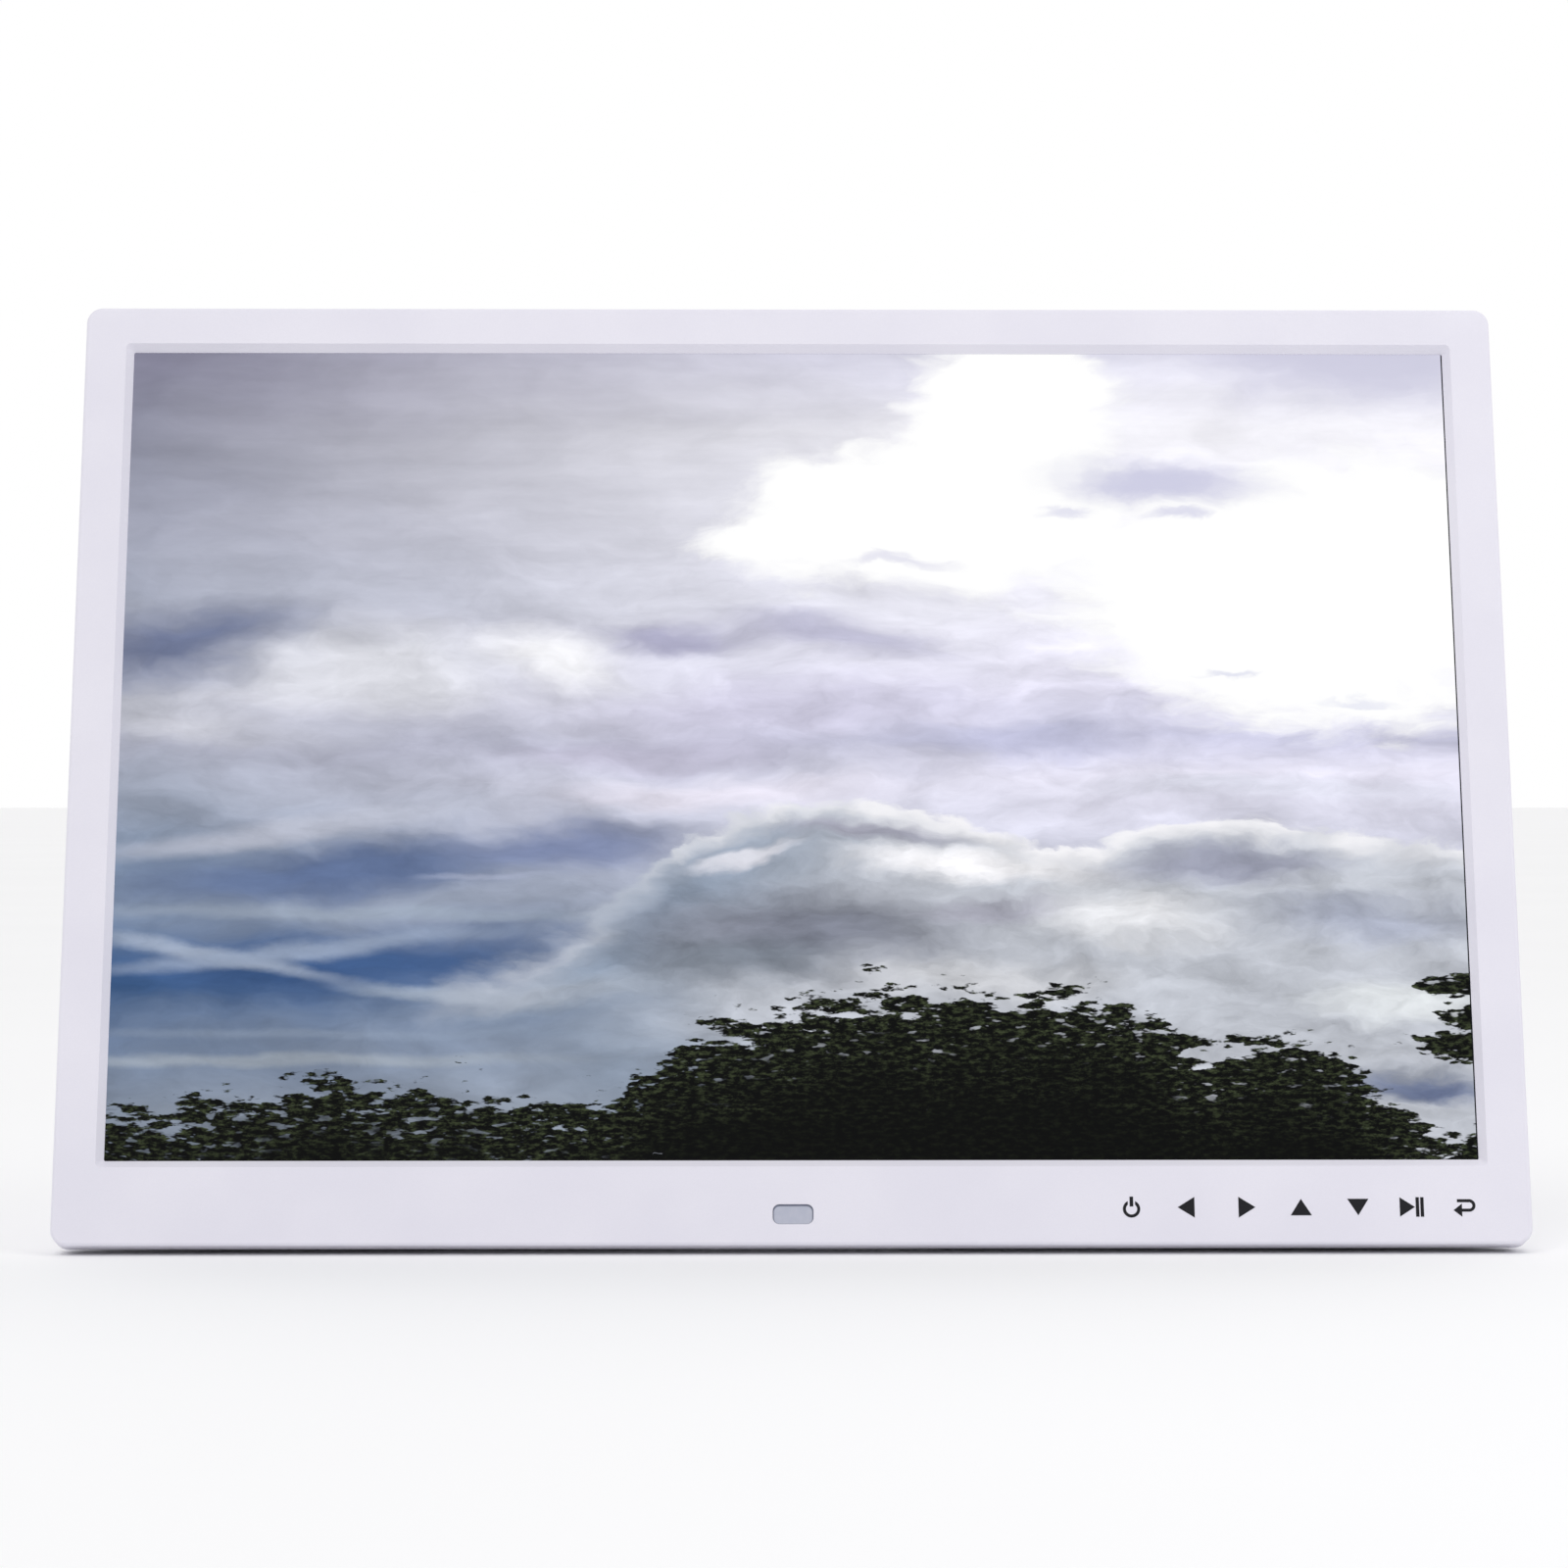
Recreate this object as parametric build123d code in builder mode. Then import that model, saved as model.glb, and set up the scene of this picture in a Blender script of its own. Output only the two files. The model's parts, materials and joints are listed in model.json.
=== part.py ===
from build123d import *

import os
from math import acos, cos, degrees, hypot, radians, sin, tan

# Digital photo frame with a 15.4-inch 16:10 screen, standing on its folded-out leg.
# Millimetres, +Z up. The screen looks towards -Y and leans back. The origin is on the table,
# under the middle of the object's box.
#
# Everything in the case is placed along the face's own directions: u to the viewer's right and
# v up the face, both from the middle of the outline, and a depth measured back from the front.

# Case
LEAN = 15.5                                    # degrees the face leans back from upright
CASE_W, CASE_H, CASE_T = 356.0, 240.0, 28.0
WALL = 2.2
BEZEL_D = 6.0                                  # depth of the bezel's side wall
SEAM = 0.45                                    # groove between bezel and cover, each way
SHOULDER_D = 14.0                              # depth where the cover's top and sides slope in
BEVEL = 22.0                                   # how far they have sloped in at the back
CORNER_R, BACK_CORNER_R = 4.0, 16.0
FRONT_EDGE_R, BACK_EDGE_R = 0.8, 2.0
FOOT_L, FOOT_W, FOOT_T = 56.0, 9.0, 1.0
FOOT_U, FOOT_BACK = 118.0, 19.8                # from the middle, and behind the front's bottom edge

# Screen opening
SCREEN_W, SCREEN_H = 331.2, 207.0              # lit area of the panel
TOP_BAND = 11.8                                # outline to lit area, along the top
SCREEN_V = CASE_H / 2 - TOP_BAND - SCREEN_H / 2
BORDER = 0.35                                  # black border left showing round the lit area
LIP_W, LIP_D = 1.8, 1.9                        # sloped lip of the bezel
LIP_R = 1.2

# LCD module, by depth
PANEL_W, PANEL_H = 344.0, 222.0
PANEL_D, PANEL_BACK = 2.6, 8.5
SHEET_METAL = 0.3
CHASSIS_D, CHASSIS_T = 9.8, 1.0
CHASSIS_BACK = CHASSIS_D + CHASSIS_T
CHASSIS_HALF_W, CHASSIS_TOP, CHASSIS_BOTTOM = 168.0, 115.2, -88.0

# Touch keys and infrared window, along the bottom band
KEY_V = -111.05
KEY_U = (81.4, 94.55, 109.2, 122.25, 136.0, 149.0, 161.5)
INK_T = 0.05
STROKE = 0.74
IR_V, IR_W, IR_H, IR_R = -112.6, 9.7, 4.75, 1.65
BOSS_U = (-170.6, -70.0, 65.0, 170.6)
BOSS_V, BOSS_R = -111.4, 3.5

# Main board and its sockets, which open to the side into a bay in the cover
BOARD_D, BOARD_T = 14.8, 1.6
BOARD_BACK = BOARD_D + BOARD_T
BOARD_U, BOARD_V, BOARD_W, BOARD_H = 97.0, 20.0, 106.0, 104.0
BAY_U, BAY_V, BAY_H, BAY_D = 154.0, 22.0, 106.0, 14.6
SD_V, USB_V, MINI_USB_V, EARPHONE_V, DC_V = 47.5, 22.5, 9.5, -1.5, -14.5
SOCKET_END = 152.8                             # how far out the sockets' mouths reach

# Case screws, speakers and hanging keyholes
POSTS = ((-140, 86), (140, 86), (-140, -78), (140, -78))
POST_END, POST_R = 19.0, 4.75
HEAD_SEAT_D = 21.0
SCREW_R, SCREW_HEAD_R, SCREW_HEAD_T = 1.5, 2.8, 2.0
THREAD_R = 1.52                                # tapped holes, with a running gap round the screw
SPEAKER_U, SPEAKER_V, SPEAKER_R = 100.0, -62.0, 18.0
KEYHOLE_U, KEYHOLE_V, KEYHOLE_R, KEYHOLE_SLOT_R, KEYHOLE_RUN = 100.0, 76.0, 4.5, 2.5, 10.0

# Stand leg
HINGE_V, HINGE_D = 50.0, 22.3
LEG_TIP_V = -112.5                             # where the folded leg's tip lies
LEG_T, LEG_TIP_T = 7.0, 5.0
LEG_HALF_W, LEG_TIP_HALF_W = 28.5, 22.0
RECESS_HALF_W, RECESS_D, RECESS_TOP = 30.0, 18.0, 59.0
RECESS_WALL = 2.0
HEEL, HEEL_GAP = 6.5, 0.1                      # the heel meets the recess floor when open
PIN_R, PIN_HALF_L = 2.0, 40.5
LUG_HALF_W = 38.0

# Worked out
COS, SIN, TAN = cos(radians(LEAN)), sin(radians(LEAN)), tan(radians(LEAN))
CENTRE_Z = FOOT_T + CASE_H / 2 * COS + BEZEL_D * SIN
HINGE_Z = CENTRE_Z + HINGE_V * COS - HINGE_D * SIN
LEG_L = HINGE_V - LEG_TIP_V
SPLAY = degrees(acos(HINGE_Z / LEG_L))         # the open leg's angle from upright
OPEN_ANGLE = LEAN + SPLAY
HINGE_BACK = HINGE_V * SIN + HINGE_D * COS     # hinge behind the middle of the outline
LEG_BACK = HINGE_BACK + LEG_L * sin(radians(SPLAY)) + LEG_T / 2
CASE_FRONT = -CASE_H / 2 * SIN + FRONT_EDGE_R * (SIN + COS - 1)
CENTRE_Y = -(CASE_FRONT + LEG_BACK) / 2

FACE = Plane(origin=(0, CENTRE_Y, CENTRE_Z), x_dir=(1, 0, 0), z_dir=(0, -COS, SIN))
OUTWARD = Axis(FACE.origin, FACE.z_dir)


def behind(depth):
    """Plane parallel to the face: x is u, y is v, and the normal points to the viewer."""
    return FACE.offset(-depth)


def section(u):
    """Plane across the case at u: x is v, y is minus the depth, and the normal points along +u."""
    return Plane(origin=FACE.from_local_coords((u, 0, 0)), x_dir=FACE.y_dir, z_dir=FACE.x_dir)


def level(v):
    """Plane across the case at v: x is u, y is the depth, and the normal points up the face."""
    return Plane(origin=FACE.from_local_coords((0, v, 0)), x_dir=FACE.x_dir, z_dir=FACE.y_dir)


def inside(u, v, depth):
    """A point in the case."""
    return FACE.from_local_coords((u, v, -depth))


def save(piece, name):
    """Labels a finished piece and writes it."""
    piece.part.label = name
    export_step(piece.part, f"parts/{name}.step")


os.makedirs("parts", exist_ok=True)

# ---------------------------------------------------------------- front bezel
KEYS = [(u, KEY_V) for u in KEY_U]
HOOK_U, HOOK_W, HOOK_END = (-90.0, 90.0), 10.0, 12.2
HOOK_STEM, HOOK_REACH, HOOK_TIP = 1.3, 3.6, 1.0
IR_POSTS = ((-11.0, BOSS_V), (11.0, BOSS_V))
IR_POST_R, IR_BOARD_D = 2.2, 9.0
RIB_U, RIB_V = (CASE_W + PANEL_W) / 4 - 1.7, 60.0
SNAPS = ((-120, 1), (0, 1), (120, 1), (-120, -1), (0, -1))
SNAP_W, SNAP_D, SNAP_T = 10.0, 4.4, 0.5


def opening(depth, grow, radius):
    """Outline of the screen opening, grown past the visible border."""
    with BuildSketch(behind(depth)) as shape:
        with Locations((0, SCREEN_V)):
            side = 2 * (BORDER + grow)
            RectangleRounded(SCREEN_W + side, SCREEN_H + side, radius)
    return shape.sketch


with BuildPart() as front_bezel:
    with BuildSketch(FACE):
        RectangleRounded(CASE_W, CASE_H, CORNER_R)
    extrude(amount=-BEZEL_D)
    fillet(front_bezel.faces().sort_by(OUTWARD)[-1].edges(), FRONT_EDGE_R)
    with BuildSketch(behind(WALL)):
        RectangleRounded(CASE_W - 2 * WALL, CASE_H - 2 * WALL, CORNER_R - WALL)
    extrude(amount=WALL - BEZEL_D, mode=Mode.SUBTRACT)
    extrude(opening(WALL, 0, 0.4), amount=WALL, mode=Mode.SUBTRACT)
    loft([opening(0, LIP_W, LIP_R), opening(LIP_D, 0, 0.4)], ruled=True, mode=Mode.SUBTRACT)
    # Window for the infrared receiver
    with BuildSketch(FACE):
        with Locations((0, IR_V)):
            RectangleRounded(IR_W + 0.1, IR_H + 0.1, IR_R)
    extrude(amount=-WALL, mode=Mode.SUBTRACT)
    # Screw bosses along the bottom, and two posts for the infrared board
    for height, places, outer, bore in (
        (CHASSIS_D, [(u, BOSS_V) for u in BOSS_U], BOSS_R, THREAD_R),
        (IR_BOARD_D, IR_POSTS, IR_POST_R, 1.02),
    ):
        with BuildSketch(behind(WALL)):
            with Locations(*places):
                Circle(outer)
                Circle(bore, mode=Mode.SUBTRACT)
        extrude(amount=WALL - height)
    # Hooks that hold the chassis along the top
    hook_top = CASE_H / 2 - WALL - 0.3
    for u in HOOK_U:
        with BuildSketch(section(u - HOOK_W / 2)):
            with BuildLine():
                Polyline(
                    (hook_top, -WALL), (hook_top, -HOOK_END), (hook_top - HOOK_REACH, -HOOK_END),
                    (hook_top - HOOK_REACH, HOOK_TIP - HOOK_END),
                    (hook_top - HOOK_STEM, -CHASSIS_BACK - 0.2), (hook_top - HOOK_STEM, -WALL),
                    close=True,
                )
            make_face()
        extrude(amount=HOOK_W)
    # Ribs that centre the panel, and catches for the cover's snaps
    with BuildSketch(behind(WALL)):
        with GridLocations(2 * RIB_U, 2 * RIB_V, 2, 2):
            Rectangle(2.0, 14.0)
    extrude(amount=-5.0)
    for u, side in SNAPS:
        with BuildSketch(behind(SNAP_D)):
            with Locations((u, side * (CASE_H / 2 - WALL + SNAP_T / 2))):
                Rectangle(SNAP_W + 0.8, SNAP_T + 0.2)
        extrude(amount=-1.4, mode=Mode.SUBTRACT)
save(front_bezel, "front_bezel")

# ---------------------------------------------------------------- printed key marks
# Power, left, right, up, down, play/pause and return, each a thin layer of ink.
RING_R, POWER_BAR = 1.72, 2.4
ARROWS = ((4.05, 5.05, 180), (4.05, 5.05, 0), (4.0, 5.1, 90), (4.0, 5.1, 270))
with BuildPart() as key_marks:
    with BuildSketch(FACE):
        power_u, power_v = KEYS[0]
        with Locations((power_u, power_v - 0.4)):
            Circle(RING_R + STROKE / 2)
            Circle(RING_R - STROKE / 2, mode=Mode.SUBTRACT)
        with Locations((power_u, power_v + 1.4)):
            Rectangle(1.75, 1.9, mode=Mode.SUBTRACT)
            Rectangle(STROKE + 0.12, POWER_BAR)
        for place, (length, width, turn) in zip(KEYS[1:5], ARROWS):
            corners = (length / 2, 0), (-length / 2, width / 2), (-length / 2, -width / 2)
            with Locations(place):
                Polygon(*corners, rotation=turn, align=None)
        play_u, play_v = KEYS[5]
        with Locations(KEYS[5]):
            Polygon((0.7, 0), (-2.95, 2.35), (-2.95, -2.35), align=None)
        with Locations((play_u + 1.32, play_v), (play_u + 2.44, play_v)):
            Rectangle(0.82, 4.75)
        # Return: two arms joined by a half turn, with an arrowhead on the lower one
        back_u, back_v = KEYS[6]
        upper, lower, bend = back_v + 1.5, back_v - 0.8, 1.15
        with BuildLine():
            Line((back_u - 1.6, upper), (back_u + 1.3, upper))
            JernArc((back_u + 1.3, upper), (1, 0), bend, -180)
            Line((back_u + 1.3, lower), (back_u - 0.8, lower))
        trace(line_width=STROKE)
        with Locations((back_u, lower)):
            Polygon((-2.5, 0), (-0.45, 1.6), (-0.45, -1.6), align=None)
    extrude(amount=INK_T)
save(key_marks, "key_marks")

# ---------------------------------------------------------------- infrared window and receiver
with BuildPart() as ir_window:
    with BuildSketch(behind(0.25)):
        with Locations((0, IR_V)):
            RectangleRounded(IR_W - 0.02, IR_H - 0.02, IR_R - 0.05)
    extrude(amount=0.25 - WALL)
    with BuildSketch(behind(WALL)):
        with Locations((0, IR_V)):
            RectangleRounded(IR_W + 2.6, IR_H + 2.2, IR_R)
    extrude(amount=-1.0)
save(ir_window, "ir_window")

with BuildPart() as ir_board:
    with BuildSketch(behind(IR_BOARD_D)):
        with Locations((0, BOSS_V)):
            RectangleRounded(30.0, 8.8, 1.0)
        with Locations(*IR_POSTS):
            Circle(1.1, mode=Mode.SUBTRACT)
    extrude(amount=-1.0)
save(ir_board, "ir_board")

with BuildPart() as ir_receiver:
    with BuildSketch(behind(IR_BOARD_D)):
        with Locations((0, IR_V)):
            RectangleRounded(5.2, 6.2, 0.5)
    extrude(amount=3.2)
    with BuildSketch(behind(IR_BOARD_D - 3.2)):
        with Locations((0, IR_V)):
            Circle(1.9)
    extrude(amount=1.8)
    fillet(ir_receiver.faces().sort_by(OUTWARD)[-1].edges(), 1.2)
save(ir_receiver, "ir_receiver")


def screws(places, seat, shank, radius, head_radius, head_height):
    """Pan-head screws driven from the back, one solid each, with a cross recess in the head."""
    with BuildPart() as group:
        with BuildSketch(behind(seat)):
            with Locations(*places):
                Circle(head_radius)
        extrude(amount=-head_height)
        fillet(group.faces().sort_by(OUTWARD)[0:len(places)].edges(), head_height * 0.35)
        with BuildSketch(behind(seat)):
            with Locations(*places):
                Circle(radius)
        extrude(amount=shank)
        with BuildSketch(behind(seat + head_height)):
            with Locations(*places):
                Rectangle(head_radius * 1.15, head_radius * 0.24)
                Rectangle(head_radius * 0.24, head_radius * 1.15)
        extrude(amount=head_height * 0.6, mode=Mode.SUBTRACT)
    return group


ir_screws = screws(IR_POSTS, IR_BOARD_D + 1.0, 5.0, 1.0, 1.9, 1.2)
save(ir_screws, "ir_screws")

# ---------------------------------------------------------------- touch key board
TOUCH_U, TOUCH_V, TOUCH_W, TOUCH_H = 121.25, -111.6, 90.0, 9.0
TAPE_T, TOUCH_T = 0.3, 1.0
TOUCH_BACK = WALL + TAPE_T + TOUCH_T
for name, depth, thick in (
    ("touch_board_tape", WALL, TAPE_T),
    ("touch_key_board", WALL + TAPE_T, TOUCH_T),
):
    with BuildPart() as strip:
        with BuildSketch(behind(depth)):
            with Locations((TOUCH_U, TOUCH_V)):
                RectangleRounded(TOUCH_W, TOUCH_H, 0.6)
        extrude(amount=-thick)
    save(strip, name)

# ---------------------------------------------------------------- LCD module
WINDOW_W, WINDOW_H = SCREEN_W + 3.8, SCREEN_H + 3.8
FRAME_W, FRAME_H = PANEL_W - 2 * SHEET_METAL, PANEL_H - 2 * SHEET_METAL
GLASS_D, GLASS_T, POLARISER_T = 3.1, 0.5, 0.2
CELL_BACK = GLASS_D + 2 * GLASS_T + POLARISER_T

with BuildPart() as panel_gasket:
    with BuildSketch(behind(WALL)):
        with Locations((0, SCREEN_V)):
            Rectangle(PANEL_W - 3, PANEL_H - 4)
            Rectangle(WINDOW_W + 1, WINDOW_H + 1, mode=Mode.SUBTRACT)
    extrude(amount=WALL - PANEL_D)
save(panel_gasket, "panel_gasket")

with BuildPart() as panel_metal_frame:
    with BuildSketch(behind(PANEL_D)):
        with Locations((0, SCREEN_V)):
            RectangleRounded(PANEL_W, PANEL_H, 1.0)
            Rectangle(WINDOW_W, WINDOW_H, mode=Mode.SUBTRACT)
    extrude(amount=PANEL_D - PANEL_BACK)
    with BuildSketch(behind(PANEL_D + SHEET_METAL)):
        with Locations((0, SCREEN_V)):
            RectangleRounded(FRAME_W, FRAME_H, 0.7)
    extrude(amount=PANEL_D + SHEET_METAL - PANEL_BACK, mode=Mode.SUBTRACT)
save(panel_metal_frame, "panel_metal_frame")

# Flat layers, front to back: name, width, height, lift of the middle, depth, thickness
LAYERS = (
    ("front_polariser", SCREEN_W + 2.6, SCREEN_H + 2.6, 0, GLASS_D - POLARISER_T, POLARISER_T),
    ("colour_filter_glass", SCREEN_W + 6, SCREEN_H + 6, 0, GLASS_D, GLASS_T),
    ("transistor_glass", SCREEN_W + 7, SCREEN_H + 8, -1.0, GLASS_D + GLASS_T, GLASS_T),
    ("rear_polariser", SCREEN_W + 3, SCREEN_H + 3, 0, GLASS_D + 2 * GLASS_T, POLARISER_T),
    ("prism_sheet", SCREEN_W + 7, SCREEN_H + 8, 0, 5.10, 0.2),
    ("light_guide", SCREEN_W + 7, SCREEN_H + 5, 1.5, 5.60, 2.0),
    ("reflector_sheet", SCREEN_W + 7, SCREEN_H + 8, 0, 7.65, 0.2),
)
for name, width, height, lift, depth, thick in LAYERS:
    with BuildPart() as layer:
        with BuildSketch(behind(depth)):
            with Locations((0, SCREEN_V + lift)):
                Rectangle(width, height)
        extrude(amount=-thick)
    save(layer, name)

with BuildPart() as diffuser_sheets:
    for depth in (4.85, 5.35):
        with BuildSketch(behind(depth)):
            with Locations((0, SCREEN_V)):
                Rectangle(SCREEN_W + 7, SCREEN_H + 8)
        extrude(amount=-0.2)
save(diffuser_sheets, "diffuser_sheets")

# The moulded frame is open below its bottom edge, where the driver films pass.
FILM_GAP = 1.0
with BuildPart() as panel_middle_frame:
    for depth, end, inner_w, inner_h in (
        (GLASS_D, CELL_BACK, SCREEN_W + 8, SCREEN_H + 14.6),
        (CELL_BACK, 4.8, SCREEN_W + 3.4, SCREEN_H + 3.4),
        (4.8, 8.2, SCREEN_W + 8, SCREEN_H + 9),
    ):
        with BuildSketch(behind(depth)):
            with Locations((0, SCREEN_V + FILM_GAP / 2)):
                RectangleRounded(FRAME_W - 0.2, FRAME_H - 0.2 - FILM_GAP, 0.8)
            with Locations((0, SCREEN_V)):
                Rectangle(inner_w, inner_h, mode=Mode.SUBTRACT)
        extrude(amount=depth - end)
save(panel_middle_frame, "panel_middle_frame")

with BuildPart() as panel_back_plate:
    with BuildSketch(behind(8.2)):
        with Locations((0, SCREEN_V + FILM_GAP / 2)):
            RectangleRounded(FRAME_W - 0.2, FRAME_H - 0.2 - FILM_GAP, 0.5)
    extrude(amount=-SHEET_METAL)
save(panel_back_plate, "panel_back_plate")

# Backlight: a strip of white diodes looking up into the light guide's bottom edge
GUIDE_BOTTOM = SCREEN_V + 1.5 - (SCREEN_H + 5) / 2
LED_COUNT, LED_W, LED_H = 36, 4.0, 0.8
with BuildPart() as led_strip:
    with BuildSketch(level(GUIDE_BOTTOM - 0.1 - LED_H)):
        with Locations((0, 6.6)):
            Rectangle(SCREEN_W, 1.8)
    extrude(amount=-0.3)
save(led_strip, "led_strip")

with BuildPart() as backlight_leds:
    with BuildSketch(level(GUIDE_BOTTOM - 0.1)):
        with Locations((0, 6.6)):
            with GridLocations(SCREEN_W / LED_COUNT, 1, LED_COUNT, 1):
                Rectangle(LED_W, 1.4)
    extrude(amount=-LED_H)
save(backlight_leds, "backlight_leds")

# Driver board behind the panel's bottom edge, joined to the glass by folded films
DRIVER_V, DRIVER_W, DRIVER_H, DRIVER_T = -97.5, 300.0, 13.0, 0.8
DRIVER_BACK = PANEL_BACK + 0.1 + DRIVER_T
FILM_U, FILM_W, FILM_T = (-110.0, -55.0, 0.0, 55.0, 110.0), 32.0, 0.12
with BuildPart() as driver_board:
    with BuildSketch(behind(PANEL_BACK + 0.1)):
        with Locations((0, DRIVER_V)):
            RectangleRounded(DRIVER_W, DRIVER_H, 0.8)
    extrude(amount=-DRIVER_T)
save(driver_board, "driver_board")

film_bottom, film_front = SCREEN_V - FRAME_H / 2 + 0.5, 0.08 - GLASS_D - GLASS_T
with BuildPart() as driver_films:
    for u in FILM_U:
        with BuildSketch(section(u - FILM_W / 2)):
            with BuildLine():
                FilletPolyline(
                    (film_bottom + 3.0, film_front), (film_bottom, film_front),
                    (film_bottom, -DRIVER_BACK - 0.08), (film_bottom + 6.0, -DRIVER_BACK - 0.08),
                    radius=0.35,
                )
            trace(line_width=FILM_T)
        extrude(amount=FILM_W)
save(driver_films, "driver_films")

# ---------------------------------------------------------------- chassis
BOARD_SCREWS = [(BOARD_U + x * 48.5, BOARD_V + y * 47.5) for x in (-1, 1) for y in (-1, 1)]
with BuildPart() as chassis_plate:
    with BuildSketch(behind(CHASSIS_D)):
        with Locations((0, (CHASSIS_TOP + CHASSIS_BOTTOM) / 2)):
            RectangleRounded(2 * CHASSIS_HALF_W, CHASSIS_TOP - CHASSIS_BOTTOM, 3.0)
        with Locations((-96, 20)):
            RectangleRounded(96, 104, 5.0, mode=Mode.SUBTRACT)
        for u in BOSS_U:
            with Locations((u, (CHASSIS_BOTTOM + 4 + BOSS_V - 3.4) / 2)):
                Rectangle(8.0, CHASSIS_BOTTOM + 4 - BOSS_V + 3.4)
            with Locations((u, BOSS_V)):
                Circle(1.7, mode=Mode.SUBTRACT)
    extrude(amount=-CHASSIS_T)
save(chassis_plate, "chassis_plate")

with BuildPart() as standoffs:
    for places, top, outer in ((POSTS, POST_END, 3.0), (BOARD_SCREWS, BOARD_D, 2.75)):
        with BuildSketch(behind(CHASSIS_BACK)):
            with Locations(*places):
                RegularPolygon(outer, 6)
                Circle(THREAD_R, mode=Mode.SUBTRACT)
        extrude(amount=CHASSIS_BACK - top)
save(standoffs, "standoffs")

with BuildPart() as insulating_sheet:
    with BuildSketch(behind(CHASSIS_BACK)):
        with Locations((BOARD_U, BOARD_V)):
            RectangleRounded(BOARD_W - 2, BOARD_H - 2, 2.0)
        with Locations(*BOARD_SCREWS):
            Circle(3.6, mode=Mode.SUBTRACT)
    extrude(amount=-0.25)
save(insulating_sheet, "insulating_sheet")

# ---------------------------------------------------------------- main board
with BuildPart() as main_board:
    with BuildSketch(behind(BOARD_D)):
        with Locations((BOARD_U, BOARD_V)):
            RectangleRounded(BOARD_W, BOARD_H, 1.5)
        with Locations(*BOARD_SCREWS):
            Circle(1.7, mode=Mode.SUBTRACT)
    extrude(amount=-BOARD_T)
save(main_board, "main_board")

# Square parts soldered to the boards: name, then each one's place, size, base depth and height
BLOCKS = (
    ("processor", ((84, 22, 19, 19, BOARD_BACK, 1.6),)),
    ("small_chips", (
        (84, 46, 10, 17, BOARD_BACK, 1.1), (98, 46, 10, 17, BOARD_BACK, 1.1),
        (112, 30, 12, 18, BOARD_BACK, 1.1), (-24, DRIVER_V, 8, 8, DRIVER_BACK, 0.35),
        (-4, DRIVER_V, 4, 4, DRIVER_BACK, 0.35),
        ((KEY_U[1] + KEY_U[2]) / 2, TOUCH_V, 4.6, 5, TOUCH_BACK, 0.9),
    )),
    ("power_coils", (
        (56, -8, 7, 7, BOARD_BACK, 3.8), (56, 4, 7, 7, BOARD_BACK, 3.8),
        (70, -18, 10, 10, BOARD_BACK, 4.4), (112, -16, 7, 7, BOARD_BACK, 3.0),
    )),
    ("board_connectors", (
        (50, 56, 5, 8, BOARD_BACK, 4.6), (62, -28, 12, 5, BOARD_BACK, 4.6),
        (88, -28, 22, 5, BOARD_BACK, 3.4), (106, -28, 8, 5, BOARD_BACK, 4.6),
        (124, -28, 14, 3.4, BOARD_BACK, 2.4), (136.5, -28, 8, 5, BOARD_BACK, 4.6),
        (88, -94, 22, 4.6, DRIVER_BACK, 2.6), (124, TOUCH_V + 2.4, 14, 3.4, TOUCH_BACK, 2.4),
    )),
)
for name, places in BLOCKS:
    with BuildPart() as blocks:
        for u, v, width, length, base, height in places:
            with BuildSketch(behind(base)):
                with Locations((u, v)):
                    Rectangle(width, length)
            extrude(amount=-height)
    save(blocks, name)

with BuildPart() as capacitors:
    with BuildSketch(behind(BOARD_BACK)):
        with Locations((48, 20), (48, 29), (126, -16), (126, -8), (72, -4)):
            Circle(3.1)
    extrude(amount=-6.0)
    fillet(capacitors.faces().sort_by(OUTWARD)[0:5].edges(), 0.5)
save(capacitors, "capacitors")

COIN_U, COIN_V, COIN_R = 108.0, 5.0, 10.0
with BuildPart() as coin_cell_holder:
    with BuildSketch(behind(BOARD_BACK)):
        with Locations((COIN_U, COIN_V)):
            Circle(COIN_R + 1.4)
    extrude(amount=-3.6)
    with BuildSketch(behind(BOARD_BACK + 0.8)):
        with Locations((COIN_U, COIN_V)):
            Circle(COIN_R + 0.15)
        with Locations((COIN_U - 9.0, COIN_V)):
            Rectangle(9.0, 9.0)
    extrude(amount=-3.6, mode=Mode.SUBTRACT)
save(coin_cell_holder, "coin_cell_holder")

with BuildPart() as coin_cell:
    with BuildSketch(behind(BOARD_BACK + 0.8)):
        with Locations((COIN_U, COIN_V)):
            Circle(COIN_R)
    extrude(amount=-3.2)
    fillet(coin_cell.faces().sort_by(OUTWARD)[0].edges(), 0.5)
save(coin_cell, "coin_cell")

# ---------------------------------------------------------------- sockets
# Each stands on the back of the board and opens towards +u.
SD_W, SD_L, SD_T, SD_SLOT_W, SD_SLOT_T = 29.0, 28.5, 3.4, 24.6, 2.4
with BuildPart() as sd_socket:
    with BuildSketch(section(SOCKET_END)):
        with Locations((SD_V, -BOARD_BACK - SD_T / 2)):
            Rectangle(SD_W, SD_T)
    extrude(amount=-SD_L)
    with BuildSketch(section(SOCKET_END)):
        with Locations((SD_V, -BOARD_BACK - SD_T / 2)):
            Rectangle(SD_SLOT_W, SD_SLOT_T)
    extrude(amount=-SD_L + 3, mode=Mode.SUBTRACT)
save(sd_socket, "sd_socket")

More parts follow.
